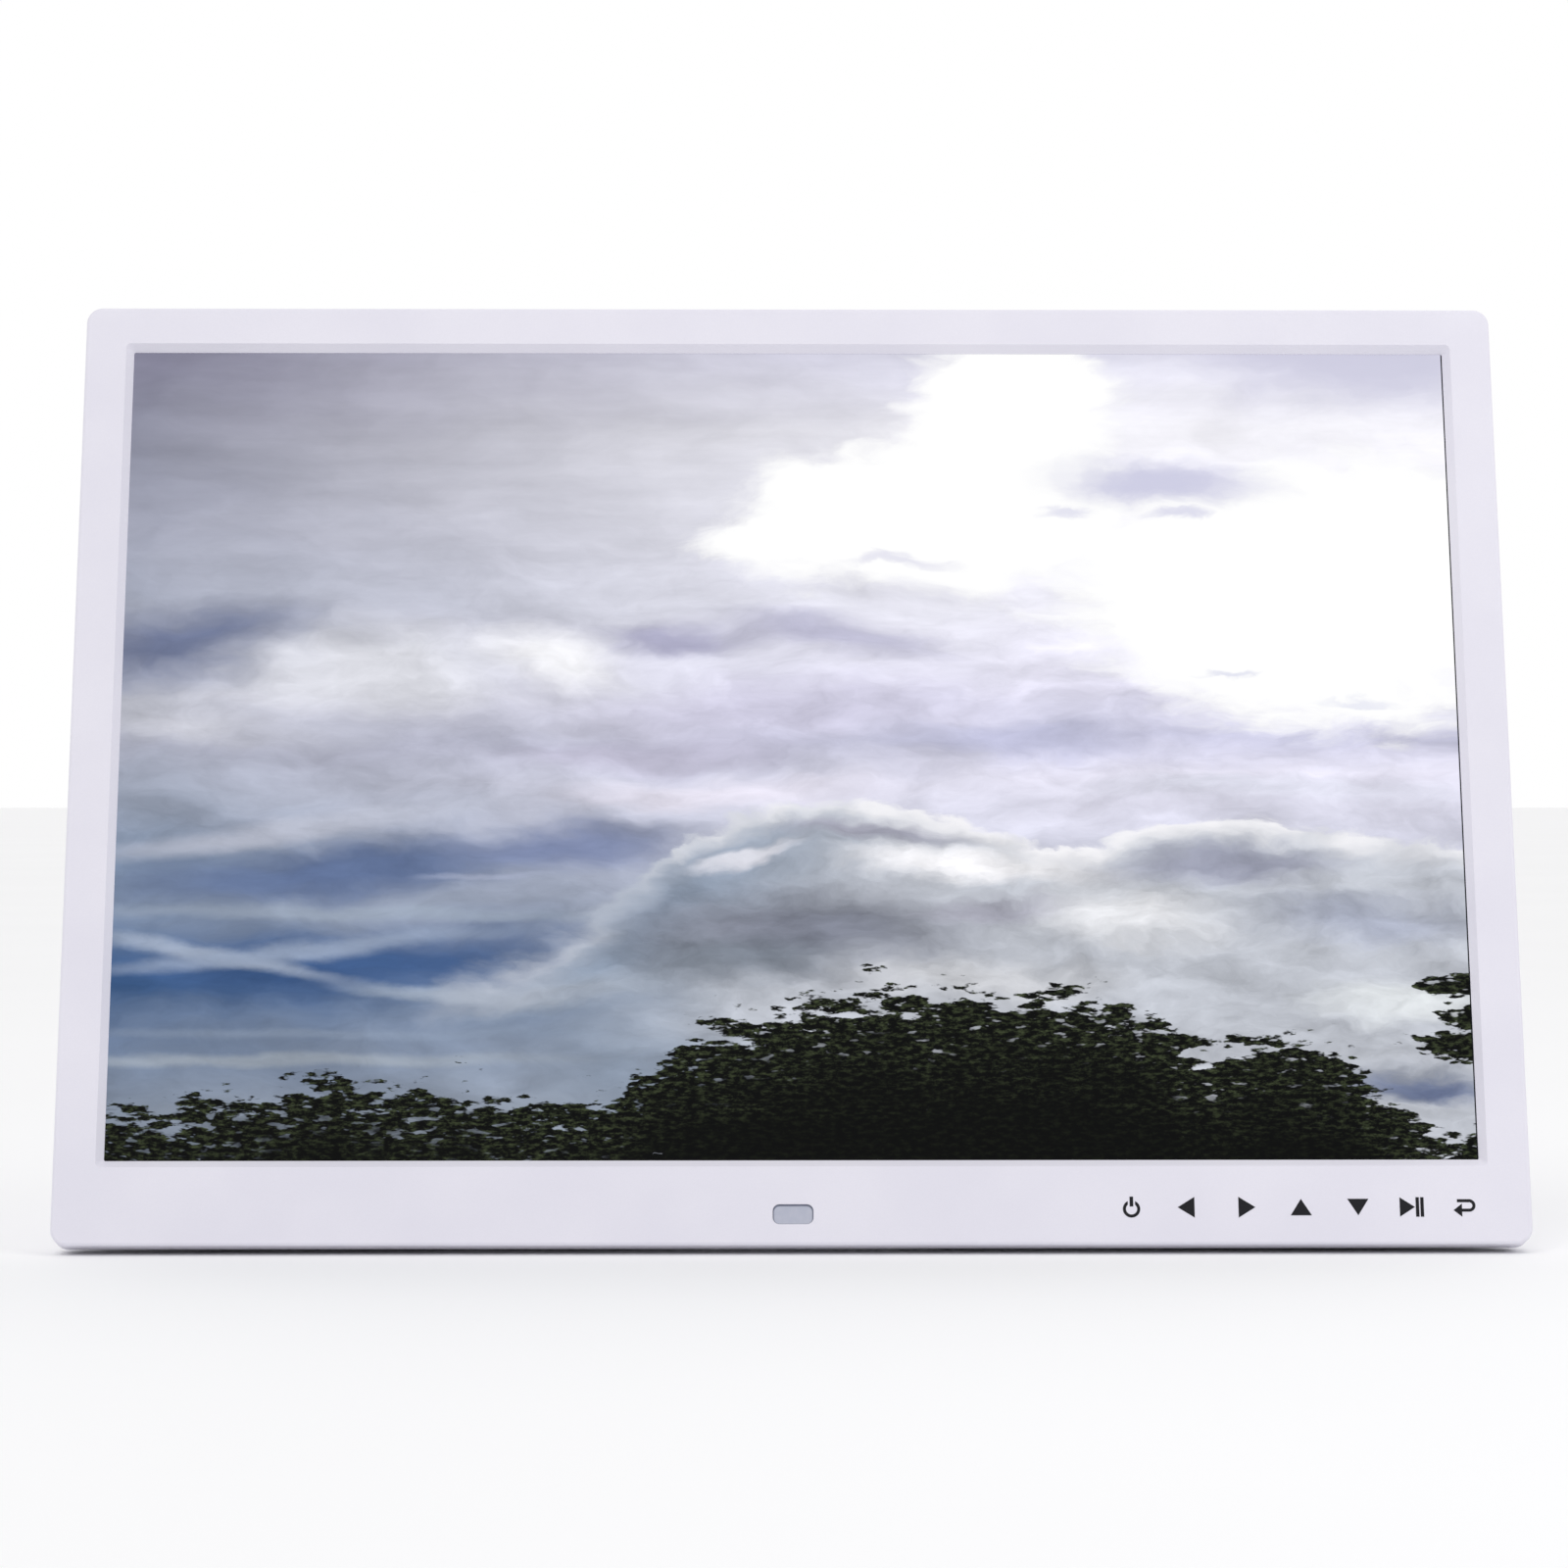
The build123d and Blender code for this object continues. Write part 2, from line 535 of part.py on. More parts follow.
# USB sockets: where each is, its shell's width, height and length, and how far the tongue
# stops short of the mouth
USB_A = (13.2, 5.9, 14.0, 2.6)
USB_MINI = (7.8, 4.0, 9.2, 1.4)
USB_SOCKETS = ((USB_V, *USB_A), (MINI_USB_V, *USB_MINI))
SHELL_T = 0.4
with BuildPart() as usb_shells:
    for v, width, height, length, short in USB_SOCKETS:
        with BuildSketch(section(SOCKET_END)):
            with Locations((v, -BOARD_BACK - height / 2)):
                RectangleRounded(width, height, 0.7)
                RectangleRounded(
                    width - 2 * SHELL_T, height - 2 * SHELL_T, 0.3, mode=Mode.SUBTRACT
                )
        extrude(amount=-length)
save(usb_shells, "usb_shells")

with BuildPart() as usb_inserts:
    for v, width, height, length, short in USB_SOCKETS:
        middle = -BOARD_BACK - height / 2
        with BuildSketch(section(SOCKET_END - length)):
            with Locations((v, middle)):
                RectangleRounded(width - 2 * SHELL_T - 0.1, height - 2 * SHELL_T - 0.1, 0.4)
        extrude(amount=3.0)
        with BuildSketch(section(SOCKET_END - length)):
            with Locations((v, middle - height * 0.12)):
                Rectangle(width * 0.82, height * 0.3)
        extrude(amount=length - short)
save(usb_inserts, "usb_inserts")

EARPHONE_D, EARPHONE_R = BOARD_BACK + 2.9, 1.8
with BuildPart() as earphone_socket:
    with BuildSketch(section(SOCKET_END - 1.6)):
        with Locations((EARPHONE_V, -EARPHONE_D)):
            Rectangle(6.4, 5.8)
    extrude(amount=-12.0)
    with BuildSketch(section(SOCKET_END - 1.6)):
        with Locations((EARPHONE_V, -EARPHONE_D)):
            Circle(2.7)
    extrude(amount=1.6)
    with BuildSketch(section(SOCKET_END)):
        with Locations((EARPHONE_V, -EARPHONE_D)):
            Circle(EARPHONE_R)
    extrude(amount=-12.6, mode=Mode.SUBTRACT)
save(earphone_socket, "earphone_socket")

DC_D, DC_BORE_R, DC_PIN_R, DC_BORE_L = BOARD_BACK + 4.1, 2.95, 1.0, 10.0
with BuildPart() as dc_socket:
    with BuildSketch(section(SOCKET_END)):
        with Locations((DC_V, -DC_D)):
            RectangleRounded(9.0, 8.2, 1.0)
    extrude(amount=-14.0)
    with BuildSketch(section(SOCKET_END)):
        with Locations((DC_V, -DC_D)):
            Circle(DC_BORE_R)
    extrude(amount=-DC_BORE_L, mode=Mode.SUBTRACT)
save(dc_socket, "dc_socket")

with BuildPart() as dc_socket_pin:
    with BuildSketch(section(SOCKET_END - DC_BORE_L)):
        with Locations((DC_V, -DC_D)):
            Circle(DC_PIN_R)
    extrude(amount=DC_BORE_L - 1.0)
    fillet(dc_socket_pin.faces().sort_by(Axis.X)[-1].edges(), 0.4)
save(dc_socket_pin, "dc_socket_pin")

# ---------------------------------------------------------------- speakers
BACK_IN = CASE_T - WALL
GASKET_T = 0.4
FLANGE_D = BACK_IN - GASKET_T


def turned(profile_points):
    """A pair of speaker parts: a profile of radius and depth turned about each speaker's axis."""
    with BuildPart() as pair:
        for u in (-SPEAKER_U, SPEAKER_U):
            with BuildSketch(level(SPEAKER_V)):
                with BuildLine():
                    Polyline([(u + r, depth) for r, depth in profile_points], close=True)
                make_face()
            revolve(axis=Axis(inside(u, SPEAKER_V, 0), FACE.z_dir))
    return pair


speaker_baskets = turned((
    (SPEAKER_R, FLANGE_D), (SPEAKER_R, FLANGE_D - 1.0), (16.2, FLANGE_D - 1.0), (9.6, 18.4),
    (4.6, 18.4), (4.6, 19.2), (9.0, 19.2), (15.4, FLANGE_D - 0.6), (15.4, FLANGE_D),
))
save(speaker_baskets, "speaker_baskets")
speaker_magnets = turned(((0, 18.4), (9.2, 18.4), (9.2, 15.0), (0, 15.0)))
save(speaker_magnets, "speaker_magnets")
speaker_cones = turned((
    (15.2, FLANGE_D), (15.2, FLANGE_D - 0.4), (12.8, FLANGE_D - 0.9), (5.0, 21.6), (0, 22.2),
    (0, 22.5), (5.2, 21.9), (13.0, FLANGE_D - 0.5), (14.2, FLANGE_D),
))
save(speaker_cones, "speaker_cones")
speaker_gaskets = turned((
    (SPEAKER_R, FLANGE_D), (SPEAKER_R, BACK_IN), (SPEAKER_R - 2.5, BACK_IN), (SPEAKER_R - 2.5, FLANGE_D),
))
save(speaker_gaskets, "speaker_gaskets")

# ---------------------------------------------------------------- rear cover
SLOPE = BEVEL / (CASE_T - SHOULDER_D)
SLANT = hypot(BEVEL, CASE_T - SHOULDER_D) / (CASE_T - SHOULDER_D)
INNER_SHOULDER_D = SHOULDER_D - WALL * (SLANT - 1) / SLOPE
INNER_BEVEL = BEVEL + WALL * (SLANT - SLOPE)
TONGUE_D, TONGUE_GAP, TONGUE_T = 3.8, 0.1, 1.2
GRILLE_PITCH, GRILLE_GAP, GRILLE_R = 3.6, 1.7, 14.0


def cover_outline(depth, inset, radius, skin=0.0):
    """The cover's outline at a depth. Its bottom rises with depth, so that it lies level."""
    rise = (depth - BEZEL_D) * TAN + skin
    with BuildSketch(behind(depth)) as shape:
        with Locations((0, (rise - inset) / 2)):
            RectangleRounded(CASE_W - 2 * inset, CASE_H - inset - rise, radius)
    return shape.sketch


# The space inside the cover, short of the walls of the leg's recess and of the socket bay
with BuildPart() as cover_space:
    inner_r = CORNER_R - WALL
    loft([
        cover_outline(BEZEL_D, WALL, inner_r, WALL / COS),
        cover_outline(INNER_SHOULDER_D, WALL, inner_r, WALL / COS),
        cover_outline(BACK_IN, INNER_BEVEL, BACK_CORNER_R - WALL, WALL / COS),
    ], ruled=True)
    with BuildSketch(behind(RECESS_D - RECESS_WALL)):
        with Locations((0, (RECESS_TOP + RECESS_WALL - CASE_H / 2) / 2)):
            Rectangle(2 * (RECESS_HALF_W + RECESS_WALL), RECESS_TOP + RECESS_WALL + CASE_H / 2)
        with Locations((0, HINGE_V)):
            Rectangle(2 * LUG_HALF_W, 16.0)
    extrude(amount=-CASE_T, mode=Mode.SUBTRACT)
    with BuildSketch(behind(BAY_D - WALL)):
        with Locations((BAY_U - WALL + 20, BAY_V)):
            Rectangle(40, BAY_H + 2 * WALL)
    extrude(amount=-CASE_T, mode=Mode.SUBTRACT)

with BuildPart() as rear_cover:
    loft([
        cover_outline(BEZEL_D, 0, CORNER_R),
        cover_outline(SHOULDER_D, 0, CORNER_R),
        cover_outline(CASE_T, BEVEL, BACK_CORNER_R),
    ], ruled=True)
    fillet(rear_cover.faces().sort_by(OUTWARD)[0].edges(), BACK_EDGE_R)
    add(cover_space.part, mode=Mode.SUBTRACT)
    # Tongue that fits inside the bezel's wall, cut away at the bezel's hooks, with its snaps
    for depth, end, outset in ((TONGUE_D, 8.0, WALL + TONGUE_GAP), (BEZEL_D, 8.0, WALL - 0.6)):
        inset = WALL + TONGUE_GAP + TONGUE_T
        with BuildSketch(behind(depth)):
            RectangleRounded(CASE_W - 2 * outset, CASE_H - 2 * outset, 1.7)
            RectangleRounded(CASE_W - 2 * inset, CASE_H - 2 * inset, 0.6, mode=Mode.SUBTRACT)
            if depth < BEZEL_D:
                with Locations(*[(u, CASE_H / 2) for u in HOOK_U]):
                    Rectangle(HOOK_W + 4, 16, mode=Mode.SUBTRACT)
        extrude(amount=depth - end)
    with BuildSketch(behind(BEZEL_D)):
        with Locations(*[(u, CASE_H / 2 - 3.2) for u in HOOK_U]):
            Rectangle(HOOK_W + 4, 2.0)
    extrude(amount=-4.0, mode=Mode.SUBTRACT)
    for u, side in SNAPS:
        with BuildSketch(behind(SNAP_D + 0.2)):
            with Locations((u, side * (CASE_H / 2 - WALL - TONGUE_GAP + SNAP_T / 2 - 0.2))):
                Rectangle(SNAP_W, SNAP_T)
        extrude(amount=-1.0)
    # Groove along the joint with the bezel
    with BuildSketch(behind(BEZEL_D)):
        Rectangle(CASE_W + 2, CASE_H + 2)
        RectangleRounded(CASE_W - 2 * SEAM, CASE_H - 2 * SEAM, CORNER_R - SEAM, mode=Mode.SUBTRACT)
    extrude(amount=-SEAM, mode=Mode.SUBTRACT)
    # Leg recess, open at the bottom edge
    with BuildSketch(behind(RECESS_D)):
        with Locations((0, (RECESS_TOP - CASE_H) / 2)):
            Rectangle(2 * RECESS_HALF_W, RECESS_TOP + CASE_H)
    extrude(amount=-CASE_T, mode=Mode.SUBTRACT)
    with BuildSketch(section(-LUG_HALF_W - 1)):
        with Locations((HINGE_V, -HINGE_D)):
            Circle(PIN_R + 0.02)
    extrude(amount=2 * LUG_HALF_W + 2, mode=Mode.SUBTRACT)
    # Socket bay, and the openings in its wall
    with BuildSketch(behind(BAY_D)):
        with Locations((BAY_U + 20, BAY_V)):
            Rectangle(40, BAY_H)
    extrude(amount=-CASE_T, mode=Mode.SUBTRACT)
    with BuildSketch(section(BAY_U - WALL - 1)):
        for v, width, height in (
            (SD_V, SD_W + 0.8, SD_T + 0.8),
            (USB_V, USB_A[0] + 0.8, USB_A[1] + 0.8),
            (MINI_USB_V, USB_MINI[0] + 0.8, USB_MINI[1] + 0.8),
            (DC_V, 9.8, 9.0),
        ):
            with Locations((v, -BOARD_BACK - height / 2 + 0.4)):
                RectangleRounded(width, height, 0.8)
        with Locations((EARPHONE_V, -EARPHONE_D)):
            Circle(3.0)
    extrude(amount=WALL + 2, mode=Mode.SUBTRACT)
    # Posts for the case screws
    with BuildSketch(behind(POST_END)):
        with Locations(*POSTS):
            Circle(POST_R)
    extrude(amount=POST_END - BACK_IN)
    for depth, radius in ((POST_END, SCREW_R + 0.2), (HEAD_SEAT_D, SCREW_HEAD_R + 0.4)):
        with BuildSketch(behind(depth)):
            with Locations(*POSTS):
                Circle(radius)
        extrude(amount=-CASE_T, mode=Mode.SUBTRACT)
    # Speaker seats and grilles
    with BuildSketch(behind(BACK_IN - 3.4)):
        with Locations((-SPEAKER_U, SPEAKER_V), (SPEAKER_U, SPEAKER_V)):
            Circle(SPEAKER_R + 1.6)
            Circle(SPEAKER_R + 0.3, mode=Mode.SUBTRACT)
    extrude(amount=-3.4)
    with BuildSketch(behind(BACK_IN - 0.5)):
        for u in (-SPEAKER_U, SPEAKER_U):
            for row in range(-3, 4):
                lift = row * GRILLE_PITCH
                with Locations((u, SPEAKER_V + lift)):
                    SlotOverall(2 * (GRILLE_R**2 - lift**2) ** 0.5, GRILLE_GAP)
    extrude(amount=-2 * WALL, mode=Mode.SUBTRACT)
    # Vents above the recess, and below it on either side
    with BuildSketch(behind(BACK_IN - 0.5)):
        with Locations((0, 80)):
            with GridLocations(8.0, 1, 17, 1):
                SlotOverall(16.0, 2.2, rotation=90)
        for u in (-100, 100):
            with Locations((u, 6)):
                with GridLocations(8.0, 1, 9, 1):
                    SlotOverall(26.0, 2.2, rotation=90)
    extrude(amount=-2 * WALL, mode=Mode.SUBTRACT)
    # Hanging keyholes: the screw head goes in at the bottom and slides up the slot
    for u in (-KEYHOLE_U, KEYHOLE_U):
        with BuildSketch(behind(BACK_IN - 0.5)):
            with Locations((u, KEYHOLE_V)):
                Circle(KEYHOLE_R)
            with Locations((u, KEYHOLE_V + KEYHOLE_RUN / 2)):
                SlotCenterToCenter(KEYHOLE_RUN, 2 * KEYHOLE_SLOT_R, rotation=90)
        extrude(amount=-2 * WALL, mode=Mode.SUBTRACT)
save(rear_cover, "rear_cover")

with BuildPart() as keyhole_plates:
    with BuildSketch(behind(BACK_IN - 0.8)):
        for u in (-KEYHOLE_U, KEYHOLE_U):
            with Locations((u, KEYHOLE_V + 4)):
                RectangleRounded(20, 30, 3)
            with Locations((u, KEYHOLE_V)):
                Circle(KEYHOLE_R, mode=Mode.SUBTRACT)
            with Locations((u, KEYHOLE_V + KEYHOLE_RUN / 2)):
                SlotCenterToCenter(
                    KEYHOLE_RUN, 2 * KEYHOLE_SLOT_R, rotation=90, mode=Mode.SUBTRACT
                )
    extrude(amount=-0.8)
save(keyhole_plates, "keyhole_plates")

case_screws = screws(POSTS, HEAD_SEAT_D, 8.0, SCREW_R, SCREW_HEAD_R, SCREW_HEAD_T)
save(case_screws, "case_screws")

with BuildPart() as inner_screws:
    for places, seat in (([(u, BOSS_V) for u in BOSS_U], CHASSIS_BACK), (BOARD_SCREWS, BOARD_BACK)):
        add(screws(places, seat, 5.0, SCREW_R, 2.6, 1.8).part)
save(inner_screws, "inner_screws")

FOOT_Y = CENTRE_Y - CASE_H / 2 * SIN + FOOT_BACK
with BuildPart() as bottom_feet:
    with BuildSketch(Plane.XY):
        with Locations((-FOOT_U, FOOT_Y), (FOOT_U, FOOT_Y)):
            RectangleRounded(FOOT_L, FOOT_W, 2.0)
    extrude(amount=FOOT_T)
    fillet(bottom_feet.faces().sort_by(Axis.Z)[0:2].edges(), 0.3)
save(bottom_feet, "bottom_feet")

# ---------------------------------------------------------------- stand leg
# In the leg's own plane, x is up the leg from the hinge and y is towards the case.
COS_S, SIN_S = cos(radians(SPLAY)), sin(radians(SPLAY))
HINGE = inside(0, HINGE_V, HINGE_D)


def leg_section(u):
    """Plane across the open leg at u."""
    return Plane(origin=HINGE + Vector(u, 0, 0), x_dir=(0, -SIN_S, COS_S), z_dir=(1, 0, 0))


def floor_at(toward, height=0.0):
    """How far up the leg a point at a distance toward the case and a height above the table is."""
    return (height - HINGE_Z + toward * SIN_S) / COS_S


LEG = Plane(origin=HINGE, x_dir=(-1, 0, 0), z_dir=(0, COS_S, SIN_S))
PAD_H = 7.0
HALF_T = LEG_T / 2
TIP_IN = LEG_TIP_T - HALF_T
heel_reach = HINGE_D - RECESS_D - HEEL_GAP
open_cos, open_sin = cos(radians(OPEN_ANGLE)), sin(radians(OPEN_ANGLE))

with BuildPart() as stand_leg:
    # Side view: barrel, heel with its stop face, and a blade that thins towards the tip
    with BuildSketch(leg_section(-LEG_HALF_W)):
        Circle(HALF_T)
        with BuildLine():
            Polyline(
                (0, HALF_T), ((heel_reach - HALF_T * open_cos) / open_sin, HALF_T),
                (HEEL, (heel_reach - HEEL * open_sin) / open_cos), (HEEL, -HALF_T),
                (floor_at(-HALF_T, PAD_H), -HALF_T), (floor_at(TIP_IN, PAD_H), TIP_IN), close=True,
            )
        make_face()
    extrude(amount=2 * LEG_HALF_W)
    # Front view: straight past the hinge, then narrowing to the tip
    with BuildSketch(LEG.offset(-2 * LEG_T)):
        with BuildLine():
            Polyline(
                (-LEG_HALF_W, 10), (LEG_HALF_W, 10), (LEG_HALF_W, -24),
                (LEG_TIP_HALF_W, -LEG_L), (-LEG_TIP_HALF_W, -LEG_L), (-LEG_HALF_W, -24), close=True,
            )
        make_face()
    extrude(amount=4 * LEG_T, mode=Mode.INTERSECT)
    # Hollow on the side towards the case, crossed by three ribs
    with BuildSketch(LEG.offset(-HALF_T)):
        for top, bottom in ((-12, -44), (-47, -78), (-81, -112), (-115, -146)):
            shrink = (LEG_HALF_W - LEG_TIP_HALF_W) / (LEG_L - 24)
            half_top = LEG_HALF_W - 3.0 + min(0, top + 24) * shrink
            half_bottom = LEG_HALF_W - 3.0 + min(0, bottom + 24) * shrink
            with BuildLine():
                Polyline(
                    (-half_top, top), (half_top, top), (half_bottom, bottom), (-half_bottom, bottom),
                    close=True,
                )
            make_face()
    extrude(amount=LEG_T - 2.6, mode=Mode.SUBTRACT)
    with BuildSketch(leg_section(-LEG_HALF_W)):
        Circle(PIN_R + 0.05)
    extrude(amount=2 * LEG_HALF_W, mode=Mode.SUBTRACT)
save(stand_leg, "stand_leg")

with BuildPart() as leg_tip_pad:
    with BuildSketch(leg_section(-LEG_TIP_HALF_W + 0.4)):
        with BuildLine():
            Polyline(
                (floor_at(-HALF_T, PAD_H), -HALF_T), (floor_at(-HALF_T), -HALF_T),
                (floor_at(TIP_IN), TIP_IN), (floor_at(TIP_IN, PAD_H), TIP_IN), close=True,
            )
        make_face()
    extrude(amount=2 * LEG_TIP_HALF_W - 0.8)
    fillet(leg_tip_pad.edges().filter_by(Axis.X).group_by(Axis.Z)[0], 0.6)
save(leg_tip_pad, "leg_tip_pad")

with BuildPart() as hinge_pin:
    with BuildSketch(section(-PIN_HALF_L)):
        with Locations((HINGE_V, -HINGE_D)):
            Circle(PIN_R)
    extrude(amount=2 * PIN_HALF_L)
    chamfer(hinge_pin.edges().filter_by(GeomType.CIRCLE), 0.3)
    # Grooves for the clips
    for u in (-LUG_HALF_W - 0.8, LUG_HALF_W + 0.2):
        with BuildSketch(section(u)):
            with Locations((HINGE_V, -HINGE_D)):
                Circle(PIN_R)
                Circle(PIN_R - 0.4, mode=Mode.SUBTRACT)
        extrude(amount=0.6, mode=Mode.SUBTRACT)
save(hinge_pin, "hinge_pin")

with BuildPart() as pin_clips:
    for u in (-LUG_HALF_W - 0.75, LUG_HALF_W + 0.25):
        with BuildSketch(section(u)):
            with Locations((HINGE_V, -HINGE_D)):
                Circle(PIN_R + 1.5)
                Circle(PIN_R - 0.38, mode=Mode.SUBTRACT)
            with Locations((HINGE_V + PIN_R, -HINGE_D)):
                Rectangle(2 * PIN_R, 2.4, mode=Mode.SUBTRACT)
        extrude(amount=0.5)
save(pin_clips, "pin_clips")

with BuildPart() as friction_washers:
    gap = (RECESS_HALF_W - LEG_HALF_W - 1.1) / 2
    for u in (-RECESS_HALF_W + gap, LEG_HALF_W + gap):
        with BuildSketch(section(u)):
            with Locations((HINGE_V, -HINGE_D)):
                Circle(3.4)
                Circle(PIN_R + 0.05, mode=Mode.SUBTRACT)
        extrude(amount=1.1)
save(friction_washers, "friction_washers")

# ---------------------------------------------------------------- cables in the case
# Flat cables are a section across the case; their route is given as (v, depth).
FLAT_CABLES = (
    ("lvds_cable", 88.0, 18.0, 0.8, 3.0,
     ((-31.0, 18.2), (-40.0, 18.2), (-47.0, 13.2), (-80.0, 12.6), (-86.0, 11.4), (-91.6, 11.4))),
    ("touch_cable", 124.0, 12.0, 0.3, 2.0,
     ((-30.0, 17.6), (-36.0, 17.6), (-41.0, 12.6), (-109.2, 12.6), (-109.2, 6.0))),
)
for name, u, width, thick, bend, route in FLAT_CABLES:
    with BuildPart() as ribbon:
        with BuildSketch(section(u - width / 2)):
            with BuildLine():
                FilletPolyline([(v, -depth) for v, depth in route], radius=bend)
            trace(line_width=thick)
        extrude(amount=width)
    save(ribbon, name)

# Round leads: name and radius, then each lead's route as (u, v, depth)
LEADS = (
    ("ir_lead", 0.9, (
        ((0, -112, 10.1), (0, -112, 14.0), (8, -98, 14.5), (34, -66, 13.8), (62, -46, 14.2),
         (62, -36, 18.0), (62, -30.6, 18.6)),
    )),
    ("backlight_lead", 0.9, (
        ((158, -101.5, 9.5), (158, -99, 12.4), (150, -72, 13.6), (130, -50, 14.2),
         (106, -42, 15.0), (106, -36, 18.2), (106, -30.6, 18.6)),
    )),
    ("speaker_leads", 0.8, (
        ((-81, -60, 21.5), (-70, -56, 14.6), (-40, -20, 13.4), (0, 16, 13.2), (34, 38, 13.4),
         (41, 50, 14.0), (41.2, 56, 19.0), (47.4, 56, 19.2)),
        ((114, -48, 21.0), (124, -45, 19.6), (136.5, -39, 19.0), (136.5, -30.6, 18.8)),
    )),
)


def bend_radii(points):
    """A radius for each corner of a route, as large as its two runs allow, up to 12 mm."""
    radii = []
    for a, b, c in zip(points, points[1:], points[2:]):
        shorter = min((b - a).length, (c - b).length)
        radii.append(min(12.0, 0.45 * shorter / tan(radians((b - a).get_angle(c - b)) / 2)))
    return radii


for name, radius, routes in LEADS:
    with BuildPart() as leads:
        for route in routes:
            points = [inside(*place) for place in route]
            with BuildLine() as path:
                FilletPolyline(points, radius=bend_radii(points))
            with BuildSketch(Plane(origin=path.line @ 0, z_dir=path.line % 0)):
                Circle(radius)
            sweep()
            print(name, "bend radii", [round(bend, 1) for bend in bend_radii(points)])
    save(leads, name)
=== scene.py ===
import json
import math

import bpy
from mathutils import Euler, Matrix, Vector

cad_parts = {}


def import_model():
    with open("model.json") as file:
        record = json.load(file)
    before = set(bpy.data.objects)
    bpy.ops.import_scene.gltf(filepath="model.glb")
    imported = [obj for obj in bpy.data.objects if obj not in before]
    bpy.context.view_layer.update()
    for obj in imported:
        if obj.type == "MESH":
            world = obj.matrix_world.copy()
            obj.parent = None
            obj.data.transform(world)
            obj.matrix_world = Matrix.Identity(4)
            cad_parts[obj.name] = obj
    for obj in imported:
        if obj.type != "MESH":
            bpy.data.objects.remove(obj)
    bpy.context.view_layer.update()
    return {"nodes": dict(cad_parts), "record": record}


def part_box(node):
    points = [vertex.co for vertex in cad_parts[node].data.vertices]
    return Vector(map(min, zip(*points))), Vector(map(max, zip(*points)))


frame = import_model()
NODES = frame["nodes"]

# ---------------------------------------------------------------- places, from the frame
LEAN = math.radians(15.5)                        # how far the face leans back
UP_FACE = Vector((0, math.sin(LEAN), math.cos(LEAN)))
FACE_TURN = (math.pi / 2 - LEAN, 0, 0)           # turns X, Y, Z to right, up the face, out of it
LIT_W, LIT_H = 0.3319, 0.2078                    # lit area of the screen
MM = 0.001


def middle(node):
    low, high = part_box(node)
    return (low + high) / 2


SCREEN = middle("front_polariser")
BEZEL = middle("front_bezel")
WINDOW = middle("ir_window")

# ---------------------------------------------------------------- camera and lights
CAMERA_AWAY, CAMERA_LIFT, CAMERA_SIDE = 1.0972, -0.0052, -0.0169   # from the face's middle
CAMERA_YAW = math.radians(-0.79)
FOCAL_MM, SENSOR_MM = 102.03, 36.0
CLIP_NEAR, CLIP_FAR = 0.05, 50
FRONT_Y, FRONT_Z = -0.01606, 0.11824             # middle of the bezel's front face


def camera():
    data = bpy.data.cameras.new("camera")
    data.lens, data.sensor_width = FOCAL_MM, SENSOR_MM
    data.clip_start, data.clip_end = CLIP_NEAR, CLIP_FAR
    made = bpy.data.objects.new("camera", data)
    made.location = (CAMERA_SIDE, FRONT_Y - CAMERA_AWAY, FRONT_Z + CAMERA_LIFT)
    made.rotation_euler = Euler((math.pi / 2, 0, CAMERA_YAW))
    bpy.context.scene.collection.objects.link(made)
    bpy.context.scene.camera = made


def lamp(name, place, target, size, watts, colour):
    """A flat lamp that faces target."""
    data = bpy.data.lights.new(name, "AREA")
    data.shape, data.size, data.size_y = "RECTANGLE", *size
    data.energy, data.color = watts, colour
    made = bpy.data.objects.new(name, data)
    made.location = place
    made.rotation_euler = (Vector(target) - Vector(place)).to_track_quat("-Z", "Y").to_euler()
    bpy.context.scene.collection.objects.link(made)


def sun(toward, power, spread, colour):
    """Light that's the same everywhere, soft as from a large window."""
    data = bpy.data.lights.new("key", "SUN")
    data.energy, data.angle, data.color = power, spread, colour
    made = bpy.data.objects.new("key", data)
    made.rotation_euler = Vector(toward).to_track_quat("Z", "Y").to_euler()
    bpy.context.scene.collection.objects.link(made)


# ---------------------------------------------------------------- making materials
def srgb(red, green, blue):
    """A colour of 0 to 255 as the linear one that shaders take."""
    def linear(value):
        value /= 255
        return value / 12.92 if value <= 0.04045 else ((value + 0.055) / 1.055) ** 2.4
    return (linear(red), linear(green), linear(blue), 1.0)


